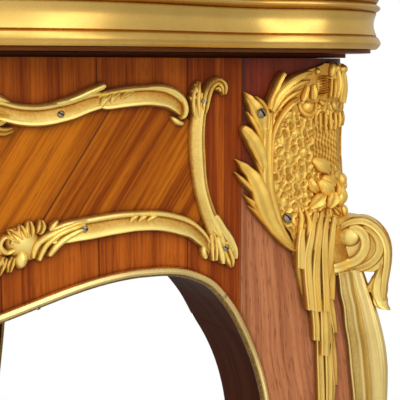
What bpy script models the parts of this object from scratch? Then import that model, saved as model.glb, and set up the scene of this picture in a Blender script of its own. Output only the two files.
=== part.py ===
"""Centre table in the Louis XV manner: a veneered frame on cabriole legs with gilt bronze mounts.

Metres, +Z up. The origin is on the floor under the middle of the table, and the front faces -Y.
"""

import math

import bmesh
import bpy
from mathutils import Vector

# Overall frame
TABLE_HEIGHT = 0.765
POST_X = 0.525  # outer face of the leg posts, from the middle
POST_Y = 0.375
GAP = 0.0003  # clearance between neighbouring pieces

# Top and its bronze rim
RIM_HEIGHT = 0.037
RIM_DEPTH = 0.012  # thickness of the rim outside the top's edge
TOP_UNDER_RIM = 0.0022  # wood showing below the rim
TOP_EDGE_INSET = 0.006  # of that wood, inside the rim's outer line
BEARER_THICK = 0.0025  # packing between the frieze and the top
BEARER_SETBACK = 0.004
TOP_BELOW_RIM_LIP = 0.0005
EAR_REACH = 0.030  # rim in front of the frieze at the corners
EAR_OUT = 0.015  # rim beyond the post's square corner along the diagonal
DIP_REACH = 0.020
SWELL_REACH = 0.032
MIDDLE_REACH = 0.013
DIP_FROM_POST = 0.085
SWELL_FROM_POST = 0.175
MIDDLE_FROM_POST = 0.290
RIM_ARC_STEPS = 6
RIM_WAVE_STEPS = 12

# Frieze rails and their arched lower edge
APRON_THICK = 0.024
APRON_END_LENGTH = 0.040  # over which a rail thickens towards the post
APRON_END_FLAT = 0.018  # of it, fully thick
APRON_STEP_DROP = 0.066  # the thicker part starts here
APRON_STEP = 0.001
POST_WIDTH = 0.081
HAUNCH_DROP = 0.160  # from the frieze's top to where the arch meets the leg
HAUNCH_RISE = 0.041
HAUNCH_LENGTH = 0.064
# shares of the haunch's length and rise, from the post
HAUNCH_CURVE = [(0.0, 0.0), (0.11, 0.31), (0.22, 0.545), (0.32, 0.715), (0.42, 0.823), (0.62, 0.944), (0.78, 0.985), (1.0, 1.0)]
ARCH_FALL = 0.021
ARCH_FALL_LENGTH = 0.125
MIDDLE_FALL = 0.010
MIDDLE_FALL_LENGTH = 0.200
APRON_STEPS = 16

# Cabriole legs
KNEE_DROP = 0.196  # from the frieze's top to the fullest part of the knee
KNEE_START_DROP = 0.078
KNEE_OUT = 0.0208
EDGE_OUT = 0.007
EDGE_OUT_DROP = 0.222
HAUNCH_FOOT_DROP = 0.225
HAUNCH_FOOT_WIDTH = 0.0677
# shares of the way down to the haunch's foot, and of the narrowing
LEG_CURVE = [(0.0, 0.0), (0.10, 0.225), (0.215, 0.445), (0.36, 0.648), (0.52, 0.797), (0.74, 0.92), (1.0, 1.0)]
ANKLE_HEIGHT = 0.105
ANKLE_IN = 0.027
ANKLE_WIDTH = 0.060
FOOT_IN = 0.013
POST_DEPTH = 0.0435  # of the leg's inner face below the haunch
HAUNCH_DEPTH = 0.058  # and from the haunch up
ANKLE_DEPTH = 0.024
CORNER_RADIUS = 0.022
ANKLE_RADIUS = 0.008
CORNER_FULLNESS = 0.85  # 0 is a flat chamfer
CORNER_STEPS = 4
FACE_STEPS = 3
FOOT_STATIONS = 4
SHIN_STATIONS = 9
KNEE_STATIONS = 6
POST_STATIONS = 9

# Bronze sabots on the feet
SABOT_HEIGHT = 0.082
SABOT_WALL = 0.0025
SABOT_FLOOR = 0.004
SABOT_LIP = 0.0015

# Inner carcase
BLOCK_REACH = 0.060
BLOCK_HEIGHT = 0.060
RAIL_WIDTH = 0.070
RAIL_THICK = 0.025
GLUE_BLOCK = (0.060, 0.020, 0.024)
GLUE_FROM_MIDDLE = 0.170

# Bronze bead along the arch and down the legs
BEAD_WIDTH = 0.0056
BEAD_HEIGHT = 0.0034
BEAD_BLEND = 0.014  # length over which the bead turns from the leg's face to the frieze's

# Bronze frame of the frieze panels
FRAME_WIDTH = 0.0115
FRAME_HEIGHT = 0.0055
# The frame's middle line from the middle of a side: distance from the leg post, depth below the frieze's top
FRAME_MIDDLE_DROP = (0.032, 0.114)
FRAME_UPPER = [(0.190, 0.030), (0.150, 0.024), (0.120, 0.029), (0.104, 0.0262), (0.088, 0.022)]
FRAME_END = [
    (0.060, 0.0200), (0.0425, 0.0245), (0.0310, 0.034), (0.0295, 0.046), (0.0285, 0.060), (0.0265, 0.074),
    (0.0220, 0.088), (0.0170, 0.100), (0.0200, 0.1080), (0.0335, 0.0960),
]
FRAME_LOWER = [(0.051, 0.0888), (0.066, 0.0875), (0.081, 0.0877), (0.096, 0.0890), (0.126, 0.0945), (0.190, 0.108)]

# Bronze mounts on the corners
CHUTE_THICK = 0.0065
CHUTE_EDGE = 0.0025
CHUTE_TOP_DROP = 0.001
CHUTE_BOTTOM_DROP = 0.0925
PENDANT_BOTTOM_DROP = 0.236
LEG_MOUNT_TOP_DROP = 0.1365
LEG_MOUNT_BOTTOM_DROP = 0.262
SEAT = 0.0006  # clearance of a mount over the leg's rounded face
ROW_MARGIN = 0.003
SCROLL_WIDTH = 0.017
LEG_MOUNT_THICK = 0.005
LEG_MOUNT_EDGE = 0.002
PENDANT_THICK = 0.006
PENDANT_EDGE = 0.0015
# Depth below the frieze's top and half width over the leg's faces, or distance from the ridge
CHUTE_HALF = [
    (CHUTE_TOP_DROP, 0.027), (0.008, 0.044), (0.018, 0.068), (0.033, 0.073), (0.056, 0.076), (0.078, 0.073),
    (CHUTE_BOTTOM_DROP, 0.065),
]
PENDANT_NEAR = [
    (0.0, 0.0190), (0.1215, 0.0195), (0.136, 0.0225), (0.150, 0.0270), (0.178, 0.034), (0.207, 0.034),
    (PENDANT_BOTTOM_DROP, 0.038),
]
PENDANT_FAR = [
    (CHUTE_BOTTOM_DROP, 0.062), (0.1065, 0.053), (0.1215, 0.040), (0.136, 0.0395), (0.150, 0.0405),
    (0.178, 0.0485), (0.207, 0.047), (PENDANT_BOTTOM_DROP, 0.043),
]
LEG_MOUNT_HALF = [
    (LEG_MOUNT_TOP_DROP, 0.0208), (0.150, 0.0230), (0.166, 0.0245), (0.196, 0.0235), (LEG_MOUNT_BOTTOM_DROP, 0.0205),
]
# Depth below the frieze's top and reach from the post's square corner along the diagonal
SCROLL_OUTER = [
    (0.0935, 0.004), (0.0950, 0.012), (0.0990, 0.0185), (0.1055, 0.0230), (0.1130, 0.0245), (0.1210, 0.0228),
    (0.1265, 0.0185), (0.1290, 0.0155), (0.1350, 0.0185), (0.1445, 0.0235), (0.1535, 0.0262), (0.1540, 0.0228),
    (0.1460, 0.0165), (0.1375, 0.0115), (0.1320, 0.0080),
]
SCROLL_INNER_DROPS = (0.1250, 0.1180, 0.1100, 0.1020, 0.0935)
SCROLL_SEAT = 0.0014

RIM_BOTTOM = TABLE_HEIGHT - RIM_HEIGHT
TOP_BOTTOM = RIM_BOTTOM - TOP_UNDER_RIM
FRIEZE_TOP = TOP_BOTTOM - BEARER_THICK - 2 * GAP
KNEE_Z = FRIEZE_TOP - KNEE_DROP
HAUNCH_Z = FRIEZE_TOP - HAUNCH_DROP
SIDES = ("front", "right", "rear", "left")
CORNERS = {"front_right": (1, -1), "rear_right": (1, 1), "rear_left": (-1, 1), "front_left": (-1, -1)}

WOOD = (0.36, 0.14, 0.035)
PLAIN_WOOD = (0.45, 0.30, 0.16)
GILT = (0.75, 0.46, 0.09)
PALE_GILT = (0.76, 0.55, 0.22)


def clear_scene():
    for thing in list(bpy.data.objects):
        bpy.data.objects.remove(thing, do_unlink=True)


def new_collection(name):
    group = bpy.data.collections.new(name)
    bpy.context.scene.collection.children.link(group)
    return group


def principled(name, colour, roughness, metallic):
    material = bpy.data.materials.new(name)
    material.use_nodes = True
    shader = material.node_tree.nodes["Principled BSDF"]
    shader.inputs["Base Color"].default_value = (*colour, 1.0)
    shader.inputs["Roughness"].default_value = roughness
    shader.inputs["Metallic"].default_value = metallic
    return material


def finish(bm, name, colour, metallic=0.0, roughness=0.35, smooth=True):
    """Closes a bmesh into a named object with its own material."""
    bmesh.ops.recalc_face_normals(bm, faces=bm.faces)
    mesh = bpy.data.meshes.new(name)
    bm.to_mesh(mesh)
    bm.free()
    if smooth:
        mesh.shade_smooth()
        mesh.set_sharp_from_angle(angle=math.radians(35))
    mesh.materials.append(principled(name, colour, roughness, metallic))
    thing = bpy.data.objects.new(name, mesh)
    parts.objects.link(thing)
    return thing


def add_loft(bm, rings, closed=False):
    """Joins rings of equal length into a tube, capped at its ends unless it closes on itself."""
    loops = [[bm.verts.new(point) for point in ring] for ring in rings]
    pairs = list(zip(loops, loops[1:]))
    if closed:
        pairs.append((loops[-1], loops[0]))
    for low, high in pairs:
        for i in range(len(low)):
            j = (i + 1) % len(low)
            bm.faces.new((low[i], low[j], high[j], high[i]))
    if not closed:
        bm.faces.new(loops[0])
        bm.faces.new(loops[-1])


def add_prism(bm, outline, bottom, top):
    add_loft(bm, [[(x, y, z) for x, y in outline] for z in (bottom, top)])


def wave(pairs, at):
    """Eases between neighbouring (place, value) pairs with a half cosine, level at each of them."""
    if at <= pairs[0][0]:
        return pairs[0][1]
    for (x0, y0), (x1, y1) in zip(pairs, pairs[1:]):
        if at <= x1:
            share = (1 - math.cos(math.pi * (at - x0) / (x1 - x0))) / 2
            return y0 + (y1 - y0) * share
    return pairs[-1][1]


def chain(pairs, at):
    """Straight steps between neighbouring (place, value) pairs."""
    if at <= pairs[0][0]:
        return pairs[0][1]
    for (x0, y0), (x1, y1) in zip(pairs, pairs[1:]):
        if at <= x1:
            return y0 + (y1 - y0) * (at - x0) / (x1 - x0)
    return pairs[-1][1]


def spaced(first, last, count):
    return [first + (last - first) * i / (count - 1) for i in range(count)]


def on_side(side, along, out, z):
    """A point on one side of the table: along it to the right, out from the frieze's face, and up."""
    if side == "front":
        return (along, -POST_Y - out, z)
    if side == "right":
        return (POST_X + out, along, z)
    if side == "rear":
        return (-along, POST_Y + out, z)
    return (-POST_X - out, -along, z)


def half_length(side):
    return POST_X if side in ("front", "rear") else POST_Y


# Top board and rim


def rim_reach(from_post):
    """How far the rim's outer line stands in front of the frieze, along one side."""
    ear_centre = (EAR_REACH - EAR_OUT) / (math.sqrt(2) - 1)
    steps = [
        (ear_centre, EAR_REACH),
        (DIP_FROM_POST, DIP_REACH),
        (SWELL_FROM_POST, SWELL_REACH),
        (MIDDLE_FROM_POST, MIDDLE_REACH),
    ]
    return wave(steps, from_post)


def rim_quarter():
    """The rim's outer line from the middle of the front to the middle of the right side."""
    ear_centre = (EAR_REACH - EAR_OUT) / (math.sqrt(2) - 1)
    ear_radius = EAR_REACH + ear_centre
    wavy = spaced(MIDDLE_FROM_POST, ear_centre, RIM_WAVE_STEPS)
    front = [(0.0, -POST_Y - rim_reach(POST_X))]
    front += [(POST_X - place, -POST_Y - rim_reach(place)) for place in wavy]
    arc = []
    for i in range(1, RIM_ARC_STEPS):
        angle = math.radians(90 * i / RIM_ARC_STEPS)
        across = POST_X - ear_centre + ear_radius * math.sin(angle)
        back = -POST_Y + ear_centre - ear_radius * math.cos(angle)
        arc.append((across, back))
    side = [(POST_X + rim_reach(place), -POST_Y + place) for place in reversed(wavy)]
    side.append((POST_X + rim_reach(POST_Y), 0.0))
    return front + arc + side


def outward(points, i):
    """The outward direction in plan at one point of a line that runs anticlockwise."""
    before = Vector(points[max(i - 1, 0)])
    after = Vector(points[min(i + 1, len(points) - 1)])
    run = (after - before).normalized()
    return Vector((run.y, -run.x))


def rim_profile():
    """(out, up) from the rim's outer line and lower edge: bead, groove, cove, bead and nosing."""
    top = RIM_HEIGHT
    return [
        (-RIM_DEPTH, 0.0),
        (-0.0022, 0.0),
        (0.0, 0.0032),
        (-0.0012, 0.0070),
        (-0.0026, 0.0078),
        (-0.0040, 0.0140),
        (-0.0028, 0.0215),
        (-0.0004, 0.0242),
        (-0.0024, 0.0266),
        (-0.0004, 0.0310),
        (-0.0040, top),
        (-RIM_DEPTH, top),
    ]


def make_rim():
    line = rim_quarter()
    for corner, (sx, sy) in CORNERS.items():
        bm = bmesh.new()
        rings = []
        for i, (x, y) in enumerate(line):
            away = outward(line, i)
            if i == 0:
                away = Vector((0.0, -1.0))
                x = GAP
            if i == len(line) - 1:
                away = Vector((1.0, 0.0))
                y = -GAP
            ring = []
            for out, up in rim_profile():
                ring.append((sx * (x + away.x * out), -sy * (y + away.y * out), RIM_BOTTOM + up))
            rings.append(ring)
        add_loft(bm, rings)
        finish(bm, "rim_" + corner, GILT, metallic=1.0, roughness=0.22)


def top_outline(inset):
    """The rim's outer line moved inwards, all round the table."""
    line = rim_quarter()
    quarter = []
    for i, (x, y) in enumerate(line):
        away = outward(line, i)
        if i == 0:
            away = Vector((0.0, -1.0))
        if i == len(line) - 1:
            away = Vector((1.0, 0.0))
        quarter.append((x - away.x * inset, y - away.y * inset))
    outline = list(quarter)
    outline += [(x, -y) for x, y in reversed(quarter[:-1])]
    outline += [(-x, -y) for x, y in quarter[1:]]
    outline += [(-x, y) for x, y in reversed(quarter[1:-1])]
    return outline


def make_top():
    steps = [
        (TOP_EDGE_INSET, TOP_BOTTOM),
        (TOP_EDGE_INSET, RIM_BOTTOM - GAP),
        (RIM_DEPTH + GAP, RIM_BOTTOM - GAP),
        (RIM_DEPTH + GAP, TABLE_HEIGHT - TOP_BELOW_RIM_LIP),
    ]
    bm = bmesh.new()
    add_loft(bm, [[(x, y, z) for x, y in top_outline(inset)] for inset, z in steps])
    finish(bm, "top_board", WOOD, smooth=False)


def make_bearer():
    x = POST_X - BEARER_SETBACK
    y = POST_Y - BEARER_SETBACK
    bm = bmesh.new()
    add_prism(bm, [(-x, -y), (x, -y), (x, y), (-x, y)], FRIEZE_TOP + GAP, FRIEZE_TOP + GAP + BEARER_THICK)
    finish(bm, "top_bearer", PLAIN_WOOD, roughness=0.6, smooth=False)


# Frieze rails


def curve(points, at):
    """A smooth line through (place, value) points."""
    last = len(points) - 1
    slopes = []
    for i in range(last + 1):
        (x0, y0), (x1, y1) = points[max(i - 1, 0)], points[min(i + 1, last)]
        slopes.append((y1 - y0) / (x1 - x0))
    i = max(k for k in range(last) if k == 0 or points[k][0] < at)
    (x0, y0), (x1, y1) = points[i], points[i + 1]
    t = (at - x0) / (x1 - x0)
    bend = slopes[i] * t * (1 - t) ** 2 - slopes[i + 1] * t * t * (1 - t)
    return y0 * (1 + 2 * t) * (1 - t) ** 2 + y1 * t * t * (3 - 2 * t) + bend * (x1 - x0)


def arch_height(from_post):
    """Height of the frieze's lower edge, by the distance from the leg post."""
    if from_post < HAUNCH_LENGTH:
        return HAUNCH_Z + HAUNCH_RISE * curve(HAUNCH_CURVE, from_post / HAUNCH_LENGTH)
    past = from_post - HAUNCH_LENGTH
    fall = wave([(0.0, 0.0), (ARCH_FALL_LENGTH, ARCH_FALL)], past)
    fall += wave([(ARCH_FALL_LENGTH, 0.0), (ARCH_FALL_LENGTH + MIDDLE_FALL_LENGTH, MIDDLE_FALL)], past)
    return HAUNCH_Z + HAUNCH_RISE - fall


def arch_places(side):
    """Distances from the post along half an arch, close together where it turns."""
    length = half_length(side) - POST_WIDTH
    return [length * (i / APRON_STEPS) ** 2.0 for i in range(APRON_STEPS + 1)]


def apron_deep(place):
    """How far the rail's lower part reaches in, at a distance from the leg post."""
    thin = APRON_THICK + APRON_STEP
    share = (APRON_END_LENGTH - place) / (APRON_END_LENGTH - APRON_END_FLAT)
    return thin + (HAUNCH_DEPTH - thin) * min(1.0, max(0.0, share))


def make_aprons():
    step = FRIEZE_TOP - APRON_STEP_DROP
    for side in SIDES:
        length = half_length(side) - POST_WIDTH
        places = sorted({GAP, APRON_END_FLAT, APRON_END_LENGTH, *[place for place in arch_places(side) if place > GAP]})
        stations = [(length - place, place) for place in places]
        stations += [(-along, place) for along, place in reversed(stations[:-1])]
        rings = []
        for along, place in stations:
            low = arch_height(place)
            deep = apron_deep(place)
            section = [(0.0, low), (0.0, FRIEZE_TOP), (-APRON_THICK, FRIEZE_TOP), (-APRON_THICK, step)]
            section += [(-deep, step), (-deep, low)]
            rings.append([on_side(side, along, out, z) for out, z in section])
        bm = bmesh.new()
        add_loft(bm, rings)
        finish(bm, "apron_" + side, WOOD, smooth=False)


# Cabriole legs, worked out for a corner at the origin with its two faces along +X and +Y


def ridge_out(z):
    steps = [
        (0.0, -FOOT_IN),
        (ANKLE_HEIGHT, -ANKLE_IN),
        (KNEE_Z, KNEE_OUT),
        (FRIEZE_TOP - KNEE_START_DROP, 0.0),
    ]
    return wave(steps, z)


def edge_out(z):
    steps = [
        (0.0, -FOOT_IN),
        (ANKLE_HEIGHT, -ANKLE_IN),
        (FRIEZE_TOP - EDGE_OUT_DROP, EDGE_OUT),
        (HAUNCH_Z, 0.0),
    ]
    return wave(steps, z)


def from_haunch(z, post, foot, ankle):
    """A size of the leg that falls along the haunch, then down to the ankle."""
    foot_z = FRIEZE_TOP - HAUNCH_FOOT_DROP
    if z >= HAUNCH_Z:
        return post
    if z > foot_z:
        return post + (foot - post) * curve(LEG_CURVE, (HAUNCH_Z - z) / (HAUNCH_Z - foot_z))
    return wave([(ANKLE_HEIGHT, ankle), (foot_z, foot)], z)


def edge_width(z):
    """Distance of the leg's inner edge from the post's outer corner."""
    return from_haunch(z, POST_WIDTH, HAUNCH_FOOT_WIDTH, ANKLE_WIDTH)


def edge_depth(z):
    return from_haunch(z, HAUNCH_DEPTH, POST_DEPTH, ANKLE_DEPTH)


def corner_radius(z):
    return wave([(ANKLE_HEIGHT, ANKLE_RADIUS), (KNEE_Z, CORNER_RADIUS)], z)


def leg_face(z):
    """The leg's outer line in plan, from its front inner edge round the ridge to the other edge.

    The first number of a point runs outwards from the side face, the second from the front face.
    """
    corner = Vector((ridge_out(z), ridge_out(z)))
    front_edge = Vector((-edge_width(z), edge_out(z)))
    side_edge = Vector((edge_out(z), -edge_width(z)))
    radius = corner_radius(z)
    start = corner + (front_edge - corner).normalized() * radius
    end = corner + (side_edge - corner).normalized() * radius
    bow = []
    for i in range(CORNER_STEPS + 1):
        t = i / CORNER_STEPS
        chord = start.lerp(end, t)
        bend = start * (1 - t) ** 2 + corner * 2 * t * (1 - t) + end * t**2
        bow.append(chord.lerp(bend, CORNER_FULLNESS))
    shares = [i / FACE_STEPS for i in range(FACE_STEPS)]
    front = [front_edge.lerp(start, share) for share in shares]
    side = [side_edge.lerp(end, share) for share in reversed(shares)]
    return [*front, *bow, *side]


def leg_section(z):
    line = leg_face(z)
    depth = edge_depth(z)
    back_front = line[0] - Vector((0.0, depth))
    back_side = line[-1] - Vector((depth, 0.0))
    return [*line, back_side, back_front]


def grown(points, reach):
    """A convex outline moved outwards by the same distance all round."""
    middle = sum(points, Vector((0.0, 0.0))) / len(points)
    moved = []
    count = len(points)
    for i, point in enumerate(points):
        before = (point - points[i - 1]).normalized()
        after = (points[(i + 1) % count] - point).normalized()
        turns = [Vector((run.y, -run.x)) for run in (before, after)]
        turns = [turn if turn.dot(point - middle) > 0 else -turn for turn in turns]
        mitre = (turns[0] + turns[1]).normalized()
        moved.append(point + mitre * reach / max(mitre.dot(turns[0]), 0.5))
    return moved


def on_corner(corner, point, z):
    sx, sy = CORNERS[corner]
    return (sx * (POST_X + point[0]), sy * (POST_Y + point[1]), z)


def leg_stations():
    """Heights of the leg's sections, closest together through the knee."""
    foot = spaced(SABOT_FLOOR, SABOT_HEIGHT, FOOT_STATIONS)
    shin = spaced(SABOT_HEIGHT, FRIEZE_TOP - EDGE_OUT_DROP, SHIN_STATIONS)
    knee = spaced(FRIEZE_TOP - EDGE_OUT_DROP, HAUNCH_Z, KNEE_STATIONS)
    post = spaced(HAUNCH_Z, FRIEZE_TOP, POST_STATIONS)
    return foot[:-1] + shin[:-1] + knee[:-1] + post


def make_legs():
    for corner in CORNERS:
        bm = bmesh.new()
        rings = [[on_corner(corner, point, z) for point in leg_section(z)] for z in leg_stations()]
        add_loft(bm, rings)
        finish(bm, "leg_" + corner, WOOD)


def make_sabots():
    heights = spaced(SABOT_FLOOR - GAP, SABOT_HEIGHT, 4)
    for corner in CORNERS:
        bm = bmesh.new()
        rings = []
        for i, z in enumerate([0.0, *heights[1:]]):
            lip = SABOT_LIP if i in (0, len(heights) - 1) else 0.0
            rings.append([on_corner(corner, p, z) for p in grown(leg_section(z), SABOT_WALL + lip)])
        for z in reversed(heights):
            rings.append([on_corner(corner, p, z) for p in grown(leg_section(max(z, SABOT_FLOOR)), GAP)])
        add_loft(bm, rings)
        finish(bm, "sabot_" + corner, GILT, metallic=1.0, roughness=0.3)


# Carcase inside the frieze


def make_corner_blocks():
    near = APRON_THICK + GAP
    face = POST_WIDTH + GAP
    bevel = HAUNCH_DEPTH + GAP * math.sqrt(2)
    far = POST_WIDTH + BLOCK_REACH
    shape = [(far, near), (face, near), (face, bevel), (bevel, face), (near, face), (near, far)]
    for corner in CORNERS:
        bm = bmesh.new()
        rings = []
        for z in (FRIEZE_TOP - BLOCK_HEIGHT, FRIEZE_TOP):
            rings.append([on_corner(corner, (-a, -b), z) for a, b in shape])
        add_loft(bm, rings)
        finish(bm, "corner_block_" + corner, PLAIN_WOOD, roughness=0.6, smooth=False)


def box_outline(x0, x1, y0, y1):
    return [(x0, y0), (x1, y0), (x1, y1), (x0, y1)]


def make_rail():
    reach = POST_Y - APRON_THICK - GAP
    bm = bmesh.new()
    add_prism(bm, box_outline(-RAIL_WIDTH / 2, RAIL_WIDTH / 2, -reach, reach), FRIEZE_TOP - RAIL_THICK, FRIEZE_TOP)
    finish(bm, "middle_rail", PLAIN_WOOD, roughness=0.6, smooth=False)


def make_glue_blocks():
    long, deep, tall = GLUE_BLOCK
    near = -APRON_THICK - GAP
    for side in ("front", "rear"):
        for end, middle in (("left", -GLUE_FROM_MIDDLE), ("right", GLUE_FROM_MIDDLE)):
            shape = [(middle - long / 2, near), (middle + long / 2, near)]
            shape += [(middle + long / 2, near - deep), (middle - long / 2, near - deep)]
            rings = []
            for z in (FRIEZE_TOP - tall, FRIEZE_TOP):
                rings.append([on_side(side, along, out, z) for along, out in shape])
            bm = bmesh.new()
            add_loft(bm, rings)
            finish(bm, "glue_block_%s_%s" % (side, end), PLAIN_WOOD, roughness=0.6, smooth=False)


# Bronze bead


def face_tilt(z):
    """How far the leg's face is turned from the frieze's, from its inner edge to the ridge."""
    return math.atan2(ridge_out(z) - edge_out(z), edge_width(z) + ridge_out(z))


def bead_half(side):
    """Points up the leg's inner edge and along half the arch: (along, out, z, tilt of the face)."""
    half = half_length(side)
    points = []
    for z in leg_stations():
        if SABOT_HEIGHT < z < HAUNCH_Z - GAP:
            points.append((half - edge_width(z), edge_out(z), z, face_tilt(z)))
    for place in arch_places(side):
        over_leg = max(0.0, 1.0 - place / BEAD_BLEND)
        z = arch_height(place)
        points.append((half - POST_WIDTH - place, 0.0, z, face_tilt(HAUNCH_Z) * over_leg))
    return points


def make_beads():
    profile = [(0.0, GAP), (0.0, BEAD_HEIGHT * 0.62), (BEAD_WIDTH / 2, BEAD_HEIGHT + GAP)]
    profile += [(BEAD_WIDTH, BEAD_HEIGHT * 0.62), (BEAD_WIDTH, GAP)]
    for side in SIDES:
        half = bead_half(side)
        path = half + [(-along, out, z, -tilt) for along, out, z, tilt in reversed(half[:-1])]
        bm = bmesh.new()
        rings = []
        for i, (along, out, z, tilt) in enumerate(path):
            before = path[max(i - 1, 0)]
            after = path[min(i + 1, len(path) - 1)]
            run = Vector((after[0] - before[0], after[1] - before[1], after[2] - before[2])).normalized()
            normal = Vector((-math.sin(tilt), math.cos(tilt), 0.0))
            normal = (normal - run * normal.dot(run)).normalized()
            across = normal.cross(run)
            ring = []
            for a, b in profile:
                place = Vector((along, out, z)) + across * a + normal * b
                ring.append(on_side(side, *place))
            rings.append(ring)
        add_loft(bm, rings)
        finish(bm, "bead_" + side, GILT, metallic=1.0, roughness=0.25)


# Bronze frame of each frieze panel


def frame_half(side):
    """Half of the frame's middle line: (distance from the leg post, depth below the frieze's top)."""
    middle = half_length(side) - POST_WIDTH
    upper, lower = FRAME_MIDDLE_DROP
    return [(middle, upper), *FRAME_UPPER, *FRAME_END, *FRAME_LOWER, (middle, lower)]


def make_frames():
    profile = [(-0.5, 0.0), (-0.5, 0.45), (-0.15, 1.0), (0.15, 0.72), (0.5, 0.62), (0.5, 0.0)]
    for side in SIDES:
        middle = half_length(side) - POST_WIDTH
        right = [(middle - place, FRIEZE_TOP - drop) for place, drop in frame_half(side)]
        path = right + [(-along, z) for along, z in reversed(right[1:-1])]
        count = len(path)
        bm = bmesh.new()
        rings = []
        for i, (along, z) in enumerate(path):
            before = Vector(path[i - 1])
            after = Vector(path[(i + 1) % count])
            run = (after - before).normalized()
            across = Vector((-run.y, run.x))
            ring = []
            for a, b in profile:
                place = Vector((along, z)) + across * a * FRAME_WIDTH
                ring.append(on_side(side, place.x, GAP + b * FRAME_HEIGHT, place.y))
            rings.append(ring)
        add_loft(bm, rings, closed=True)
        finish(bm, "panel_frame_" + side, GILT, metallic=1.0, roughness=0.35)


# Bronze mounts that wrap the corner


def skin(z, across):
    """A point on the leg's outer line, measured from the ridge, and the direction out of the face there."""
    line = leg_face(z)
    middle = len(line) // 2
    towards = 1 if across > 0 else -1
    left = abs(across)
    i = middle
    while True:
        step = line[i + towards] - line[i]
        if left <= step.length or i + towards in (0, len(line) - 1):
            break
        left -= step.length
        i += towards
    run = step.normalized() * towards
    point = line[i] + step.normalized() * left
    flat = Vector((-run.y, run.x))
    ridge = Vector((1.0, 1.0)).normalized()
    blend = min(1.0, abs(across) / corner_radius(z))
    return point, (flat * blend + ridge * (1 - blend)).normalized()


def heights_between(top_drop, bottom_drop):
    """The leg's own sections between two depths below the frieze's top, with both ends added."""
    top = FRIEZE_TOP - top_drop
    bottom = FRIEZE_TOP - bottom_drop
    inside = [z for z in leg_stations() if bottom + ROW_MARGIN < z < top - ROW_MARGIN]
    return [bottom, *inside, top]


def bow_marks(z):
    """Distances from the ridge to the corners of the rounded stretch, on one face."""
    line = leg_face(z)
    middle = len(line) // 2
    marks = [0.0]
    for i in range(middle, middle + CORNER_STEPS // 2):
        marks.append(marks[-1] + (line[i + 1] - line[i]).length)
    return marks


def over_ridge(z, reach):
    """Places across the leg from one edge of a mount over the ridge to the other."""
    marks = bow_marks(z)
    scale = min(1.0, 0.85 * reach / marks[-1])
    half = [mark * scale for mark in marks]
    half += [(half[-1] + reach) / 2, reach]
    return [-place for place in reversed(half[1:])] + half


def on_face(near, far):
    return [near, near + (far - near) / 3, near + (far - near) * 2 / 3, far]


def wrapped(corner, rows, thick, edge):
    """A closed shell that lies on the leg: rows of (height, places across the leg)."""
    bm = bmesh.new()
    rings = []
    for z, places in rows:
        outer = []
        inner = []
        for place in places:
            share = (place - places[0]) / (places[-1] - places[0])
            point, away = skin(z, place)
            swell = math.sin(math.pi * share) ** 0.6 if 0 < share < 1 else 0.0
            inner.append(point + away * SEAT)
            outer.append(point + away * (SEAT + edge + (thick - edge) * swell))
        rings.append([on_corner(corner, point, z) for point in outer + inner[::-1]])
    add_loft(bm, rings)
    return bm


def chute_reach(drop):
    """Half width of the corner mount: a spray of leaves, widest at mid height."""
    return chain(CHUTE_HALF, drop)


def make_chutes():
    drops = [drop for drop, _ in CHUTE_HALF]
    for corner in CORNERS:
        rows = [(FRIEZE_TOP - drop, over_ridge(FRIEZE_TOP - drop, chute_reach(drop))) for drop in drops]
        bm = wrapped(corner, rows, CHUTE_THICK, CHUTE_EDGE)
        finish(bm, "corner_chute_" + corner, GILT, metallic=1.0, roughness=0.38)


def make_pendants():
    heights = heights_between(CHUTE_BOTTOM_DROP + GAP, PENDANT_BOTTOM_DROP)
    for corner in CORNERS:
        for face, turn in (("front", -1), ("side", 1)):
            rows = []
            for z in heights:
                drop = FRIEZE_TOP - z
                rows.append((z, on_face(turn * chain(PENDANT_NEAR, drop), turn * chain(PENDANT_FAR, drop))))
            bm = wrapped(corner, rows, PENDANT_THICK, PENDANT_EDGE)
            finish(bm, "pendant_%s_%s" % (corner, face), GILT, metallic=1.0, roughness=0.38)


def ridge_diagonal(z):
    """Distance of the leg's ridge from the post's square corner, along the diagonal."""
    line = leg_face(z)
    return line[len(line) // 2].length * (1 if line[len(line) // 2].x > 0 else -1)


def make_scrolls():
    half = SCROLL_WIDTH / 2
    shape = [(reach, FRIEZE_TOP - drop) for drop, reach in SCROLL_OUTER]
    for drop in SCROLL_INNER_DROPS:
        z = FRIEZE_TOP - drop
        shape.append((ridge_diagonal(z) + SCROLL_SEAT, z))
    diagonal = Vector((1.0, 1.0)).normalized()
    sideways = Vector((1.0, -1.0)).normalized()
    for corner in CORNERS:
        bm = bmesh.new()
        rings = []
        for shift in (-half, half):
            ring = []
            for reach, z in shape:
                ring.append(on_corner(corner, diagonal * reach + sideways * shift, z))
            rings.append(ring)
        add_loft(bm, rings)
        finish(bm, "corner_scroll_" + corner, GILT, metallic=1.0, roughness=0.35, smooth=False)


def make_leg_mounts():
    heights = heights_between(LEG_MOUNT_TOP_DROP, LEG_MOUNT_BOTTOM_DROP)
    for corner in CORNERS:
        rows = [(z, over_ridge(z, chain(LEG_MOUNT_HALF, FRIEZE_TOP - z))) for z in heights]
        bm = wrapped(corner, rows, LEG_MOUNT_THICK, LEG_MOUNT_EDGE)
        finish(bm, "leg_mount_" + corner, PALE_GILT, metallic=1.0, roughness=0.35)


clear_scene()
parts = new_collection("centre_table")
make_top()
make_bearer()
make_rim()
make_aprons()
make_legs()
make_sabots()
make_corner_blocks()
make_rail()
make_glue_blocks()
make_beads()
make_frames()
make_chutes()
make_pendants()
make_scrolls()
make_leg_mounts()
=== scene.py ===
import bisect
import functools
import math

import bmesh
import bpy
from mathutils import Matrix, Vector


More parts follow.
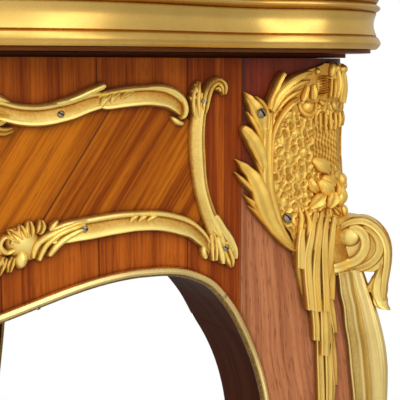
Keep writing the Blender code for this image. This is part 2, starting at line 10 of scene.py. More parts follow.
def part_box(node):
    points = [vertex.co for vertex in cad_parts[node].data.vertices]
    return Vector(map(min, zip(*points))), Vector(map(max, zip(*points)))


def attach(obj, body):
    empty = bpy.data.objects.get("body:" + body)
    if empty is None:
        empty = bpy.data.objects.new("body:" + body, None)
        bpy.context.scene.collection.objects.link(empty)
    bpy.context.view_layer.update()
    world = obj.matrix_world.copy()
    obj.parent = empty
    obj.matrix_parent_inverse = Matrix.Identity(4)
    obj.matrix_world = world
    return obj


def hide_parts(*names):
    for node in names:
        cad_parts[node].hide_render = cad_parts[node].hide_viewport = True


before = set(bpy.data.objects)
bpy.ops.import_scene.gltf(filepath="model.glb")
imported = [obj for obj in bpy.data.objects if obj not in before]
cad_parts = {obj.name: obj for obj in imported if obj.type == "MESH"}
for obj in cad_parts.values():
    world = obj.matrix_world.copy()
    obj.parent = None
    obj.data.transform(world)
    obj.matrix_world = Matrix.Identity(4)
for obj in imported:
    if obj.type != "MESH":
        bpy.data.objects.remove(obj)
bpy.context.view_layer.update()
bpy.context.scene.view_settings.view_transform = "Standard"

mm = 0.001
weldDistance = 0.000004
gap = 0.0003  # clearance between neighbouring pieces of the frame
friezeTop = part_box("apron_front")[1].z
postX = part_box("apron_right")[1].x  # outer faces of the leg posts
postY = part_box("apron_rear")[1].y
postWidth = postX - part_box("apron_front")[1].x - gap
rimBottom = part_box("rim_front_right")[0].z
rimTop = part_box("rim_front_right")[1].z
sides = ("front", "right", "rear", "left")
corners = {"front_right": (1, 1), "rear_right": (1, -1), "rear_left": (-1, -1), "front_left": (-1, 1)}


# Shared shaping helpers

def wave(pairs, at):  # eases between (place, value) pairs, level at each of them
    if at <= pairs[0][0]:
        return pairs[0][1]
    for (x0, y0), (x1, y1) in zip(pairs, pairs[1:]):
        if at <= x1:
            return y0 + (y1 - y0) * (1 - math.cos(math.pi * (at - x0) / (x1 - x0))) / 2
    return pairs[-1][1]


def curve(points, at):  # a smooth line through (place, value) pairs
    last = len(points) - 1
    slopes = []
    for i in range(last + 1):
        (x0, y0), (x1, y1) = points[max(i - 1, 0)], points[min(i + 1, last)]
        slopes.append((y1 - y0) / (x1 - x0))
    i = max(k for k in range(last) if k == 0 or points[k][0] < at)
    (x0, y0), (x1, y1) = points[i], points[i + 1]
    t = (at - x0) / (x1 - x0)
    bend = slopes[i] * t * (1 - t) ** 2 - slopes[i + 1] * t * t * (1 - t)
    return y0 * (1 + 2 * t) * (1 - t) ** 2 + y1 * t * t * (3 - 2 * t) + bend * (x1 - x0)


def spaced(first, last, count):
    return [first + (last - first) * i / (count - 1) for i in range(count)]


def halfLength(side):
    return postX if side in ("front", "rear") else postY


def onSide(side, along, out, z):  # along a side to the right, out from its frieze, and up
    if side == "front":
        return Vector((along, -postY - out, z))
    if side == "right":
        return Vector((postX + out, along, z))
    if side == "rear":
        return Vector((-along, postY + out, z))
    return Vector((-postX - out, -along, z))


def loft(mesh, rings, cap=True, shades=None):  # a grid rolled into a tube through rings of equal length
    rows = len(rings) - 1
    around = len(rings[0])
    relief = mesh.verts.layers.float.get("relief")
    made = bmesh.ops.create_grid(mesh, x_segments=rows, y_segments=around, size=1.0)["verts"]
    for vert in made:
        row = round((vert.co.x + 1) / 2 * rows)
        place = round((vert.co.y + 1) / 2 * around) % around
        vert.co = rings[row][place]
        if shades:
            vert[relief] = shades[row][place]
    bmesh.ops.remove_doubles(mesh, verts=made, dist=weldDistance)
    if cap:
        bmesh.ops.holes_fill(mesh, edges=[edge for edge in mesh.edges if edge.is_boundary], sides=0)


def carvedMesh():  # holds how high each place stands, with painted shade laid into it in places, which the gilding follows
    mesh = bmesh.new()
    mesh.verts.layers.float.new("relief")
    return mesh


def makePiece(mesh, name, finish, nodes, sharp=38):
    bmesh.ops.recalc_face_normals(mesh, faces=mesh.faces)
    mesh.normal_update()
    data = bpy.data.meshes.new(name)
    mesh.to_mesh(data)
    mesh.free()
    data.shade_smooth()
    data.set_sharp_from_angle(angle=math.radians(sharp))
    for material in finish if isinstance(finish, list) else [finish]:
        data.materials.append(material)
    piece = bpy.data.objects.new(name, data)
    bpy.context.scene.collection.objects.link(piece)
    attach(piece, "root")
    if nodes:
        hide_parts(*nodes)
    return piece


def eachCorner(master, name, finish, nodeName, sharp=38):  # front right, mirrored to the rest
    for corner, (sx, sy) in corners.items():
        mesh = master.copy()
        bmesh.ops.transform(mesh, matrix=Matrix.Diagonal((sx, sy, 1, 1)), verts=mesh.verts)
        makePiece(mesh, name + "_" + corner, finish, [nodeName % corner] if nodeName else [], sharp)
    master.free()


# Camera, light and floor

studio = {
    "cameraPlace": (0.1452, -0.8458, 0.7188),
    "cameraTurn": -30.0,
    "cameraTilt": 82.157,
    "lens": 88.2,
    "roomLevel": 0.42,
    "mirrorBright": 0.98,
    "mirrorDim": 0.66,
    "mirrorTurn": -60.0,  # the bright end of what the bronze reflects, in degrees from straight ahead
    "mirrorFall": (-0.14, 0.57),
    "ceilingShare": 0.95,
    "ceiling": (0.15, 0.7),  # the room dims between these heights of the direction looked in
    "slitTurn": 9.0,  # a narrow bright window among what the bronze reflects
    "slitWidth": (0.10, 0.28),
    "slitLevel": 1.7,
    "floorMirror": (0.5, 1.0),  # the floor's white in the bronze, right and left
    "floorTurn": (-0.6, 1.6),  # and how far it goes from one to the other
    "floorFade": (0.45, 1.5),  # the floor turns white between these distances from the middle
    "floorColour": (0.86, 0.85, 0.83, 1.0),
    "floorRough": 0.7,
    "floorRadius": 9.0,
    # place, what it points at, size in metres, watts and colour
    "lamps": {
        "keyLight": ((-1.0, -2.5, 2.7), (0.4, -0.3, 0.6), 2.4, 86.0, (1.0, 0.985, 0.96)),
        "fillLight": ((2.2, -2.0, 2.6), (0.5, -0.3, 0.6), 1.8, 9.0, (1.0, 0.99, 0.98)),
        "topLight": ((0.2, -0.6, 2.9), (0.3, -0.2, 0.5), 2.4, 20.0, (1.0, 1.0, 1.0)),
        "backLight": ((-0.6, 2.6, 1.9), (0.0, 0.2, 0.6), 2.0, 36.0, (1.0, 1.0, 1.0)),
    },
}


def makeCamera():
    data = bpy.data.cameras.new("camera")
    data.lens = studio["lens"]
    data.sensor_width = 36.0
    data.sensor_fit = "HORIZONTAL"
    data.clip_start = 0.01
    camera = bpy.data.objects.new("camera", data)
    camera.location = studio["cameraPlace"]
    camera.rotation_euler = (math.radians(studio["cameraTilt"]), 0.0, math.radians(studio["cameraTurn"]))
    bpy.context.scene.collection.objects.link(camera)
    bpy.context.scene.camera = camera


def makeLamps():
    for name, (place, aim, size, watts, colour) in studio["lamps"].items():
        data = bpy.data.lights.new(name, "AREA")
        data.shape = "RECTANGLE"
        data.size = data.size_y = size
        data.energy = watts
        data.color = colour
        lamp = bpy.data.objects.new(name, data)
        lamp.location = place
        lamp.visible_glossy = False  # the bronze reflects the room alone
        lamp.rotation_euler = (Vector(aim) - Vector(place)).to_track_quat("-Z", "Y").to_euler()
        bpy.context.scene.collection.objects.link(lamp)


def lookingTo(turn):
    return (math.sin(math.radians(turn)), -math.cos(math.radians(turn)), 0.0)


def makeRoom():
    world = bpy.data.worlds.new("room")
    bpy.context.scene.world = world
    world.use_nodes = True
    tree = world.node_tree
    shade = tree.nodes["Background"]
    shade.inputs["Color"].default_value = (1.0, 1.0, 1.0, 1.0)
    path = tree.nodes.new("ShaderNodeLightPath")
    mirror = addMath(tree, "MAXIMUM", path.outputs["Is Glossy Ray"], path.outputs["Is Transmission Ray"])
    look = tree.nodes.new("ShaderNodeTexCoord").outputs["Generated"]
    height = tree.nodes.new("ShaderNodeSeparateXYZ")
    tree.links.new(look, height.inputs[0])
    seen = addDot(tree, look, lookingTo(studio["mirrorTurn"]))
    seen = addRange(tree, seen, *studio["mirrorFall"], studio["mirrorDim"], studio["mirrorBright"])
    dimmed = addRange(tree, height.outputs["Z"], *studio["ceiling"], 1.0, studio["ceilingShare"])
    seen = addMath(tree, "MULTIPLY", seen, dimmed)
    beside = addMath(tree, "ABSOLUTE", addDot(tree, look, lookingTo(studio["slitTurn"] + 90)))
    slit = addRange(tree, beside, *studio["slitWidth"], studio["slitLevel"], 0.0)
    ahead = addRange(tree, addDot(tree, look, lookingTo(studio["slitTurn"])), 0.0, 0.2)
    seen = addMath(tree, "ADD", seen, addMath(tree, "MULTIPLY", slit, ahead))
    level = tree.nodes.new("ShaderNodeMix")
    level.inputs["A"].default_value = studio["roomLevel"]
    tree.links.new(seen, level.inputs["B"])
    tree.links.new(mirror, level.inputs["Factor"])
    white = tree.nodes.new("ShaderNodeMix")
    white.inputs["B"].default_value = 1.0
    tree.links.new(path.outputs["Is Camera Ray"], white.inputs["Factor"])
    tree.links.new(level.outputs["Result"], white.inputs["A"])
    tree.links.new(white.outputs["Result"], shade.inputs["Strength"])


def makeFloor():
    mesh = bmesh.new()
    bmesh.ops.create_circle(mesh, cap_ends=True, segments=96, radius=studio["floorRadius"])
    data = bpy.data.meshes.new("floor")
    mesh.to_mesh(data)
    mesh.free()
    floor = bpy.data.objects.new("floor", data)
    bpy.context.scene.collection.objects.link(floor)
    material, tree, shader = newMaterial("paleFloor")
    shader.inputs["Base Color"].default_value = studio["floorColour"]
    shader.inputs["Roughness"].default_value = studio["floorRough"]
    glow = tree.nodes.new("ShaderNodeEmission")
    path = tree.nodes.new("ShaderNodeLightPath")
    toward = addDot(tree, objectPlace(tree), lookingTo(studio["mirrorTurn"]))
    shine = addRange(tree, toward, *studio["floorTurn"], *studio["floorMirror"])
    tree.links.new(addMath(tree, "MAXIMUM", shine, path.outputs["Is Camera Ray"]), glow.inputs["Strength"])
    length = tree.nodes.new("ShaderNodeVectorMath")
    length.operation = "LENGTH"
    tree.links.new(objectPlace(tree), length.inputs[0])
    far = addRange(tree, length.outputs["Value"], *studio["floorFade"])
    seen = addMath(tree, "MAXIMUM", path.outputs["Is Camera Ray"], path.outputs["Is Glossy Ray"])
    seen = addMath(tree, "MAXIMUM", seen, path.outputs["Is Transmission Ray"])
    both = tree.nodes.new("ShaderNodeMixShader")
    tree.links.new(addMath(tree, "MULTIPLY", far, seen), both.inputs[0])
    tree.links.new(shader.outputs[0], both.inputs[1])
    tree.links.new(glow.outputs[0], both.inputs[2])
    tree.links.new(both.outputs[0], tree.nodes["Material Output"].inputs["Surface"])
    data.materials.append(material)


# Shader groups and finishes

def newGroup(name, inputs, outputs):
    group = bpy.data.node_groups.new(name, "ShaderNodeTree")
    for way, sockets in (("INPUT", inputs), ("OUTPUT", outputs)):
        for label, kind in sockets.items():
            group.interface.new_socket(name=label, in_out=way, socket_type="NodeSocket" + kind)
    return group, group.nodes.new("NodeGroupInput"), group.nodes.new("NodeGroupOutput")


def addMath(tree, operation, first, second=None, third=None):
    node = tree.nodes.new("ShaderNodeMath")
    node.operation = operation
    for i, value in enumerate((first, second, third)):
        if isinstance(value, (int, float)):
            node.inputs[i].default_value = value
        elif value is not None:
            tree.links.new(value, node.inputs[i])
    return node.outputs[0]


def addNoise(tree, vector, scale, detail, roughness=0.55):
    node = tree.nodes.new("ShaderNodeTexNoise")
    node.inputs["Scale"].default_value = scale
    node.inputs["Detail"].default_value = detail
    node.inputs["Roughness"].default_value = roughness
    tree.links.new(vector, node.inputs["Vector"])
    return node.outputs["Fac"]


def addRange(tree, value, low, high, first=0.0, last=1.0):
    node = tree.nodes.new("ShaderNodeMapRange")
    node.interpolation_type = "SMOOTHSTEP"
    node.inputs["From Min"].default_value = low
    node.inputs["From Max"].default_value = high
    node.inputs["To Min"].default_value = first
    node.inputs["To Max"].default_value = last
    tree.links.new(value, node.inputs["Value"])
    return node.outputs["Result"]


def addMix(tree, factor, first, second, blend="MIX"):
    node = tree.nodes.new("ShaderNodeMix")
    node.data_type = "RGBA"
    node.blend_type = blend
    for label, value in (("Factor", factor), ("A", first), ("B", second)):
        socket = [s for s in node.inputs if s.name == label and s.enabled][0]
        if isinstance(value, (int, float, tuple)):
            socket.default_value = value
        else:
            tree.links.new(value, socket)
    return [s for s in node.outputs if s.enabled][0]


def addDot(tree, vector, direction):
    node = tree.nodes.new("ShaderNodeVectorMath")
    node.operation = "DOT_PRODUCT"
    node.inputs[1].default_value = direction
    tree.links.new(vector, node.inputs[0])
    return node.outputs["Value"]


def addScaled(tree, vector, scale):
    node = tree.nodes.new("ShaderNodeVectorMath")
    node.operation = "MULTIPLY"
    node.inputs[1].default_value = scale
    tree.links.new(vector, node.inputs[0])
    return node.outputs[0]


def makeGrainGroup():  # veneer grain, with the leaves' joints and a painted shadow of the rim at the top, in the plane of a frieze or leg
    inputs = {
        "Vector": "Vector", "Turn": "Float", "Light": "Color", "Dark": "Color", "Leaf Width": "Float",
        "Leaf Start": "Float", "Joint Width": "Float", "Joint Foot": "Float", "Band": "Float",
        "Dash": "Float", "Rim Shadow Tint": "Color", "Rim Shadow Foot": "Float", "Rim Shadow Head": "Float",
    }
    group, start, end = newGroup("veneerGrain", inputs, {"Color": "Color", "Height": "Float"})
    parts = group.nodes.new("ShaderNodeSeparateXYZ")
    group.links.new(start.outputs["Vector"], parts.inputs[0])
    along = addMath(group, "ADD", parts.outputs["X"], parts.outputs["Y"])
    flat = group.nodes.new("ShaderNodeCombineXYZ")
    group.links.new(along, flat.inputs["X"])
    group.links.new(parts.outputs["Z"], flat.inputs["Y"])
    turned = group.nodes.new("ShaderNodeVectorRotate")
    turned.rotation_type = "Z_AXIS"
    group.links.new(flat.outputs[0], turned.inputs["Vector"])
    group.links.new(start.outputs["Turn"], turned.inputs["Angle"])
    grain = turned.outputs[0]
    across = group.nodes.new("ShaderNodeSeparateXYZ")
    group.links.new(grain, across.inputs[0])
    shifted = addMath(group, "SUBTRACT", across.outputs["X"], start.outputs["Leaf Start"])
    leaves = addMath(group, "DIVIDE", shifted, start.outputs["Leaf Width"])
    part = addMath(group, "FRACT", leaves)
    fromEdge = addMath(group, "MINIMUM", part, addMath(group, "SUBTRACT", 1.0, part))
    fromEdge = addMath(group, "MULTIPLY", fromEdge, start.outputs["Leaf Width"])
    high = addMath(group, "GREATER_THAN", parts.outputs["Z"], start.outputs["Joint Foot"])
    jointWidth = addMath(group, "MULTIPLY", start.outputs["Joint Width"], high)
    jointWidth = addMath(group, "MAXIMUM", jointWidth, plainVeneer["jointWidth"])
    joint = addRange(group, addMath(group, "DIVIDE", fromEdge, jointWidth), 0.3, 1.0, 1.0, 0.0)
    tint = addMath(group, "COSINE", addMath(group, "MULTIPLY", addMath(group, "FLOOR", leaves), 2.4))
    tint = addMath(group, "MULTIPLY_ADD", tint, 0.5, 0.5)
    # each leaf is cut from another place in the log
    leafShift = group.nodes.new("ShaderNodeCombineXYZ")
    group.links.new(addMath(group, "MULTIPLY", tint, 3.0), leafShift.inputs["Y"])
    moved = group.nodes.new("ShaderNodeVectorMath")
    group.links.new(grain, moved.inputs[0])
    group.links.new(leafShift.outputs[0], moved.inputs[1])
    streaks = addNoise(group, addScaled(group, moved.outputs[0], (520.0, 9.0, 1.0)), 1.0, 5.0, 0.62)
    bands = addNoise(group, addScaled(group, moved.outputs[0], (105.0, 3.4, 1.0)), 1.0, 3.0)
    pores = addNoise(group, addScaled(group, moved.outputs[0], (1000.0, 95.0, 1.0)), 1.0, 2.0)
    fine = addRange(group, streaks, 0.40, 0.62)
    broad = addRange(group, bands, 0.40, 0.62)
    both = addMath(group, "MULTIPLY_ADD", fine, 0.5, addMath(group, "MULTIPLY", broad, start.outputs["Band"]))
    both = addMath(group, "ADD", both, addMath(group, "MULTIPLY_ADD", tint, 0.36, -0.22))
    both = addMath(group, "MINIMUM", addMath(group, "MAXIMUM", both, 0.0), 1.0)
    wood = addMix(group, both, start.outputs["Light"], start.outputs["Dark"])
    pore = addRange(group, pores, 0.54, 0.70)
    dashes = addMath(group, "MULTIPLY", pore, start.outputs["Dash"])
    wood = addMix(group, dashes, wood, plainVeneer["poreColour"])
    # painted shadow of the rim: the colour darkens between these heights towards the top
    rimShadowShare = group.nodes.new("ShaderNodeMapRange")
    rimShadowShare.interpolation_type = "SMOOTHSTEP"
    group.links.new(parts.outputs["Z"], rimShadowShare.inputs["Value"])
    group.links.new(start.outputs["Rim Shadow Foot"], rimShadowShare.inputs["From Min"])
    group.links.new(start.outputs["Rim Shadow Head"], rimShadowShare.inputs["From Max"])
    rimShaded = addMix(group, 1.0, wood, start.outputs["Rim Shadow Tint"], "MULTIPLY")
    wood = addMix(group, rimShadowShare.outputs["Result"], wood, rimShaded)
    wood = addMix(group, addMath(group, "MULTIPLY", joint, 0.7), wood, plainVeneer["jointColour"])
    group.links.new(wood, end.inputs["Color"])
    height = addMath(group, "MULTIPLY_ADD", pore, -0.5, addMath(group, "MULTIPLY", fine, 0.2))
    group.links.new(addMath(group, "SUBTRACT", height, joint), end.inputs["Height"])
    return group


def makeWearAndShadeGroup():  # burnished gilding with painted shade: bright on the high places, brown in the low ones
    inputs = {"Vector": "Vector", "Relief": "Float", "Bright": "Color", "Deep": "Color", "Rough": "Float"}
    outputs = {"Color": "Color", "Roughness": "Float", "Height": "Float"}
    group, start, end = newGroup("giltWearAndShade", inputs, outputs)
    cloud = addNoise(group, start.outputs["Vector"], 46.0, 3.0)
    speck = addNoise(group, start.outputs["Vector"], 620.0, 3.0, 0.65)
    low = addRange(group, start.outputs["Relief"], 0.4, 4.2, 1.0, 0.0)
    low = addMath(group, "MULTIPLY_ADD", addRange(group, cloud, 0.35, 0.75), 0.22, low)
    patchy = addRange(group, speck, 0.2, 0.65, 0.72, 1.0)
    dirtAndShade = addMath(group, "MULTIPLY", addMath(group, "MINIMUM", low, 1.0), patchy)
    group.links.new(addMix(group, dirtAndShade, start.outputs["Bright"], start.outputs["Deep"]), end.inputs["Color"])
    rough = addMath(group, "MULTIPLY_ADD", dirtAndShade, 0.16, start.outputs["Rough"])
    rough = addMath(group, "MULTIPLY_ADD", speck, 0.12, rough)
    group.links.new(addMath(group, "SUBTRACT", rough, 0.06), end.inputs["Roughness"])
    height = addMath(group, "MULTIPLY_ADD", cloud, 0.4, addMath(group, "MULTIPLY", speck, 0.5))
    group.links.new(height, end.inputs["Height"])
    return group


def newMaterial(name):
    material = bpy.data.materials.new(name)
    material.use_nodes = True
    tree = material.node_tree
    return material, tree, tree.nodes["Principled BSDF"]


def objectPlace(tree):
    return tree.nodes.new("ShaderNodeTexCoord").outputs["Object"]


def addBump(tree, shader, height, strength, distance):
    bump = tree.nodes.new("ShaderNodeBump")
    bump.inputs["Strength"].default_value = strength
    bump.inputs["Distance"].default_value = distance
    tree.links.new(height, bump.inputs["Height"])
    tree.links.new(bump.outputs[0], shader.inputs["Normal"])


plainVeneer = {  # what a veneer has where its own look doesn't say
    "turn": 0.0, "leafWidth": 0.9, "leafStart": 0.45,
    "jointWidth": 0.0007, "jointFoot": -1.0,  # joints are wider above this height
    "jointColour": (0.022, 0.007, 0.003, 1.0),
    "band": 0.62, "dash": 0.3, "poreColour": (0.05, 0.012, 0.003, 1.0),
    "rimShadowTint": (1.0, 1.0, 1.0), "rimShadowFade": (0.0, 1.0),  # painted shadow of the rim: the wood darkens towards the top
    # painted shade where other parts stand close over the wood: its reach, tint and samples
    "occlusionShade": 0.0, "occlusionShadeTint": (0.22, 0.14, 0.11, 1.0), "occlusionShadeSamples": 12,
    "bump": (0.35, 0.00025),
}
plainGilt = {"carved": True, "plainRelief": 5.0, "uneven": 0.3, "metal": 0.92, "bumpDepth": 0.0006}


def veneer(name, look):
    look = plainVeneer | look
    material, tree, shader = newMaterial(name)
    grain = tree.nodes.new("ShaderNodeGroup")
    grain.node_tree = grainGroup
    tree.links.new(objectPlace(tree), grain.inputs["Vector"])
    values = {
        "Turn": math.radians(look["turn"]), "Light": (*look["light"], 1.0), "Dark": (*look["dark"], 1.0),
        "Leaf Width": look["leafWidth"], "Leaf Start": look["leafStart"],
        "Joint Width": look["jointWidth"], "Joint Foot": look["jointFoot"], "Band": look["band"],
        "Dash": look["dash"], "Rim Shadow Tint": (*look["rimShadowTint"], 1.0),
        "Rim Shadow Foot": look["rimShadowFade"][0], "Rim Shadow Head": look["rimShadowFade"][1],
    }
    for label, value in values.items():
        grain.inputs[label].default_value = value
    wood = grain.outputs["Color"]
    if look["occlusionShade"]:  # painted shade: the wood darkens where the bronze and the rim stand close over it
        nook = tree.nodes.new("ShaderNodeAmbientOcclusion")
        nook.samples = look["occlusionShadeSamples"]
        nook.inputs["Distance"].default_value = look["occlusionShade"]
        unshaded = addRange(tree, nook.outputs["AO"], 0.35, 0.95)
        wood = addMix(tree, unshaded, addMix(tree, 1.0, wood, look["occlusionShadeTint"], "MULTIPLY"), wood)
    tree.links.new(wood, shader.inputs["Base Color"])
    shader.inputs["Roughness"].default_value = look["rough"]
    shader.inputs["Specular IOR Level"].default_value = look["gloss"]
    addBump(tree, shader, grain.outputs["Height"], *look["bump"])
    return material


def gilding(name, look):
    look = plainGilt | look
    material, tree, shader = newMaterial(name)
    wearAndShade = tree.nodes.new("ShaderNodeGroup")
    wearAndShade.node_tree = wearAndShadeGroup
    tree.links.new(objectPlace(tree), wearAndShade.inputs["Vector"])
    wearAndShade.inputs["Relief"].default_value = look["plainRelief"]
    if look["carved"]:
        relief = tree.nodes.new("ShaderNodeAttribute")
        relief.attribute_name = "relief"
        tree.links.new(relief.outputs["Fac"], wearAndShade.inputs["Relief"])
    wearAndShade.inputs["Bright"].default_value = (*look["bright"], 1.0)
    wearAndShade.inputs["Deep"].default_value = (*look["deep"], 1.0)
    wearAndShade.inputs["Rough"].default_value = look["rough"]
    tree.links.new(wearAndShade.outputs["Color"], shader.inputs["Base Color"])
    tree.links.new(wearAndShade.outputs["Roughness"], shader.inputs["Roughness"])
    shader.inputs["Metallic"].default_value = look["metal"]
    addBump(tree, shader, wearAndShade.outputs["Height"], look["uneven"], look["bumpDepth"])
    return material


makeCamera()
makeRoom()
makeFloor()
makeLamps()
print("camera, light and floor are set")
grainGroup = makeGrainGroup()
wearAndShadeGroup = makeWearAndShadeGroup()
friezeVeneer = veneer("friezeVeneer", {
    "light": (0.42, 0.098, 0.008), "dark": (0.19, 0.030, 0.003),
    "leafWidth": 0.054, "leafStart": postX - postWidth - postY - 0.035, "rough": 0.38, "gloss": 0.08,
    "occlusionShade": 0.007,
})
panelVeneer = veneer("panelVeneer", {
    "turn": 34.6, "light": (0.475, 0.138, 0.006), "dark": (0.20, 0.036, 0.002),
    "leafWidth": 0.0808, "leafStart": -0.4057, "rough": 0.36, "gloss": 0.08, "occlusionShade": 0.006,
})
legVeneer = veneer("legVeneer", {  # its joints run along the posts' inner edges
    # the posts' own wood colour with a painted sheen mixed in: pinker and paler than the frieze's
    "light": (0.47, 0.180, 0.070), "dark": (0.26, 0.078, 0.027), "band": 0.32, "dash": 0.5,
    # painted shadow of the rim over the tops of the posts
    "rimShadowTint": (0.5, 0.17, 0.07), "rimShadowFade": (friezeTop - 0.090, friezeTop - 0.050), "occlusionShade": 0.009,
    "leafWidth": 2 * postWidth, "leafStart": postX - postWidth - postY, "rough": 0.38, "gloss": 0.2,
    # near the top the joints widen into a dark stripe 4.8 mm wide
    "jointWidth": 0.0048, "jointFoot": friezeTop - 0.036,
})
# painted shade on the faces that turn away from the light
shadedInnerVeneer = veneer("shadedInnerVeneer", {
    "light": (0.062, 0.017, 0.007), "dark": (0.038, 0.010, 0.004),
    "rough": 0.5, "gloss": 0.02,
})
# painted shade on the rails' undersides and backs
shadedSoffitVeneer = veneer("shadedSoffitVeneer", {
    "light": (0.058, 0.027, 0.016), "dark": (0.036, 0.016, 0.009),
    "rough": 0.5, "gloss": 0.02,
})
edgeWood = veneer("edgeWood", {
    "turn": 90.0, "light": (0.18, 0.052, 0.010), "dark": (0.095, 0.025, 0.005),
    "rough": 0.45, "gloss": 0.1,
})
bearerWood = veneer("bearerWood", {
    "turn": 90.0, "light": (0.17, 0.042, 0.012), "dark": (0.10, 0.024, 0.007),
    "rough": 0.5, "gloss": 0.05,
})
bandVeneer = veneer("bandVeneer", {
    "light": (0.34, 0.090, 0.012), "dark": (0.17, 0.034, 0.005),
    "rough": 0.28, "gloss": 0.4,
})
topVeneer = veneer("topVeneer", {
    "turn": 33.0, "light": (0.50, 0.150, 0.016), "dark": (0.26, 0.052, 0.006),
    "leafWidth": 0.12, "leafStart": 0.0, "rough": 0.28, "gloss": 0.4,
})
carcaseWood = veneer("carcaseWood", {
    "turn": 90.0, "light": (0.52, 0.33, 0.17), "dark": (0.34, 0.19, 0.085),
    "rough": 0.7, "gloss": 0.2,
})
rimGilt = gilding("rimGilt", {
    "bright": (0.77, 0.49, 0.128), "deep": (0.40, 0.165, 0.012), "rough": 0.28, "uneven": 0.06, "metal": 1.0,
})
# its deep colour is also the painted shade on the beads' open side
beadGilt = gilding("beadGilt", {
    "bright": (0.86, 0.63, 0.25), "deep": (0.18, 0.095, 0.015), "rough": 0.26, "uneven": 0.015, "metal": 1.0,
})
mountGilt = gilding("mountGilt", {
    "bright": (1.0, 0.79, 0.250), "deep": (0.54, 0.260, 0.035), "rough": 0.41,
})
chuteGilt = gilding("chuteGilt", {
    "bright": (0.95, 0.62, 0.132), "deep": (0.46, 0.200, 0.020), "rough": 0.42,
})
draperyGilt = gilding("draperyGilt", {
    "bright": (0.86, 0.62, 0.180), "deep": (0.43, 0.200, 0.025), "rough": 0.45,
})
paleGilt = gilding("paleGilt", {
    "bright": (0.82, 0.63, 0.24), "deep": (0.46, 0.30, 0.08), "rough": 0.36, "uneven": 0.2, "metal": 0.9,
})
footGilt = gilding("footGilt", {
    "bright": (0.80, 0.545, 0.155), "deep": (0.42, 0.190, 0.022), "rough": 0.40, "carved": False,
    "uneven": 0.2, "metal": 0.9,
})
# its deep colour is the painted shadow in the screws' slots
screwSteel = gilding("screwSteel", {
    "bright": (0.36, 0.30, 0.22), "deep": (0.03, 0.02, 0.012), "rough": 0.34, "uneven": 0.1, "metal": 1.0,
})
print("finishes are set")


# Rim of the top

rim = {
    "earReach": 0.030, "earOut": 0.015, "sharp": 30,
    "dip": (0.085, 0.020), "swell": (0.175, 0.032), "middle": (0.290, 0.013),
    "waveSteps": 72, "arcSteps": 24,
    # out and up in mm from the outer line's foot, the bow up to the next point, and the brightness, a painted
    # shade and reflection that darkens the grooves and the top bead
    "moulding": [
        (-12.0, 0.0, 0.0, 1.0), (-2.6, 0.0, 2.2, 3.4), (-2.0, 7.2, 0.0, 1.0), (-3.1, 7.7, 0.0, 1.0),
        (-2.7, 8.3, -1.7, 5.0), (-3.0, 21.2, 0.0, 1.0), (-3.7, 21.7, 0.0, 1.0), (-2.9, 22.2, 2.2, 3.0),
        (-2.9, 26.4, 0.0, 1.0), (-3.5, 26.9, 0.0, 1.0), (-2.7, 27.4, 2.6, 1.6), (-4.8, 36.9, 0.0, 1.6),
        (-12.0, 37.0, 0.0, 1.6),
    ],
    "bowSteps": 9,
}
earCentre = (rim["earReach"] - rim["earOut"]) / (math.sqrt(2) - 1)


def rimReach(fromPost):
    return wave([(earCentre, rim["earReach"]), rim["dip"], rim["swell"], rim["middle"]], fromPost)


def rimQuarter():  # outer line from the middle of the front round the corner to the middle of the side
    radius = rim["earReach"] + earCentre
    places = spaced(rim["middle"][0], earCentre, rim["waveSteps"])
    front = [Vector((postX - place, -postY - rimReach(place))) for place in places]
    side = [Vector((postX + rimReach(place), -postY + place)) for place in reversed(places)]
    arc = []
    for i in range(1, rim["arcSteps"]):
        angle = math.radians(90 * i / rim["arcSteps"])
        centre = Vector((postX - earCentre, -postY + earCentre))
        arc.append(centre + Vector((math.sin(angle), -math.cos(angle))) * radius)
    first = Vector((gap, -postY - rimReach(postX)))
    last = Vector((postX + rimReach(postY), -gap))
    return [first, *front, *arc, *side, last]


def rimProfile():
    points = []
    for (x0, y0, bow, shade), (x1, y1, *_) in zip(rim["moulding"], rim["moulding"][1:]):
        run = Vector((x1 - x0, y1 - y0))
        normal = Vector((run.y, -run.x)).normalized()
        steps = rim["bowSteps"] if bow else 1
        for i in range(steps):
            t = i / steps
            points.append(((Vector((x0, y0)) + run * t + normal * bow * math.sin(math.pi * t)) * mm, shade))
    points.append((Vector(rim["moulding"][-1][:2]) * mm, rim["moulding"][-1][3]))
    return points


def outward(line, i):
    run = (line[min(i + 1, len(line) - 1)] - line[max(i - 1, 0)]).normalized()
    return Vector((run.y, -run.x))


def makeRim():
    mesh = carvedMesh()
    line = rimQuarter()
    profile = rimProfile()
    rings = []
    for i, spot in enumerate(line):
        away = outward(line, i)
        if i == 0:
            away = Vector((0.0, -1.0))
        if i == len(line) - 1:
            away = Vector((1.0, 0.0))
        ring = []
        for point, _ in profile:
            place = spot + away * point.x
            ring.append(Vector((place.x, place.y, rimBottom + point.y)))
        rings.append(ring)
    loft(mesh, rings, True, [[shade for _, shade in profile]] * len(rings))
    eachCorner(mesh, "rim_moulding", rimGilt, "rim_%s", rim["sharp"])


makeRim()


# Top: a stepped edge below the rim and a quartered veneer inside a crossband

top = {
    "edgeInset": 0.006, "inset": 0.0123, "low": 0.0022, "lip": 0.0005, "band": 0.055, "string": 0.0022,
    "sharp": 30, "edgeSteps": 3,  # steps of the outline that belong to the edge
}


def topOutline(inset):
    line = rimQuarter()
    quarter = []
    for i, spot in enumerate(line[1:-1], 1):
        quarter.append(spot - outward(line, i) * inset)
    middle = [Vector((0.0, line[0].y + inset)), Vector((line[-1].x - inset, 0.0))]
    whole = [middle[0], *quarter, middle[1]]
    whole += [Vector((spot.x, -spot.y)) for spot in reversed(quarter)]
    whole += [Vector((0.0, -middle[0].y)), *[-spot for spot in quarter], Vector((-middle[1].x, 0.0))]
    return whole + [Vector((-spot.x, spot.y)) for spot in reversed(quarter)]


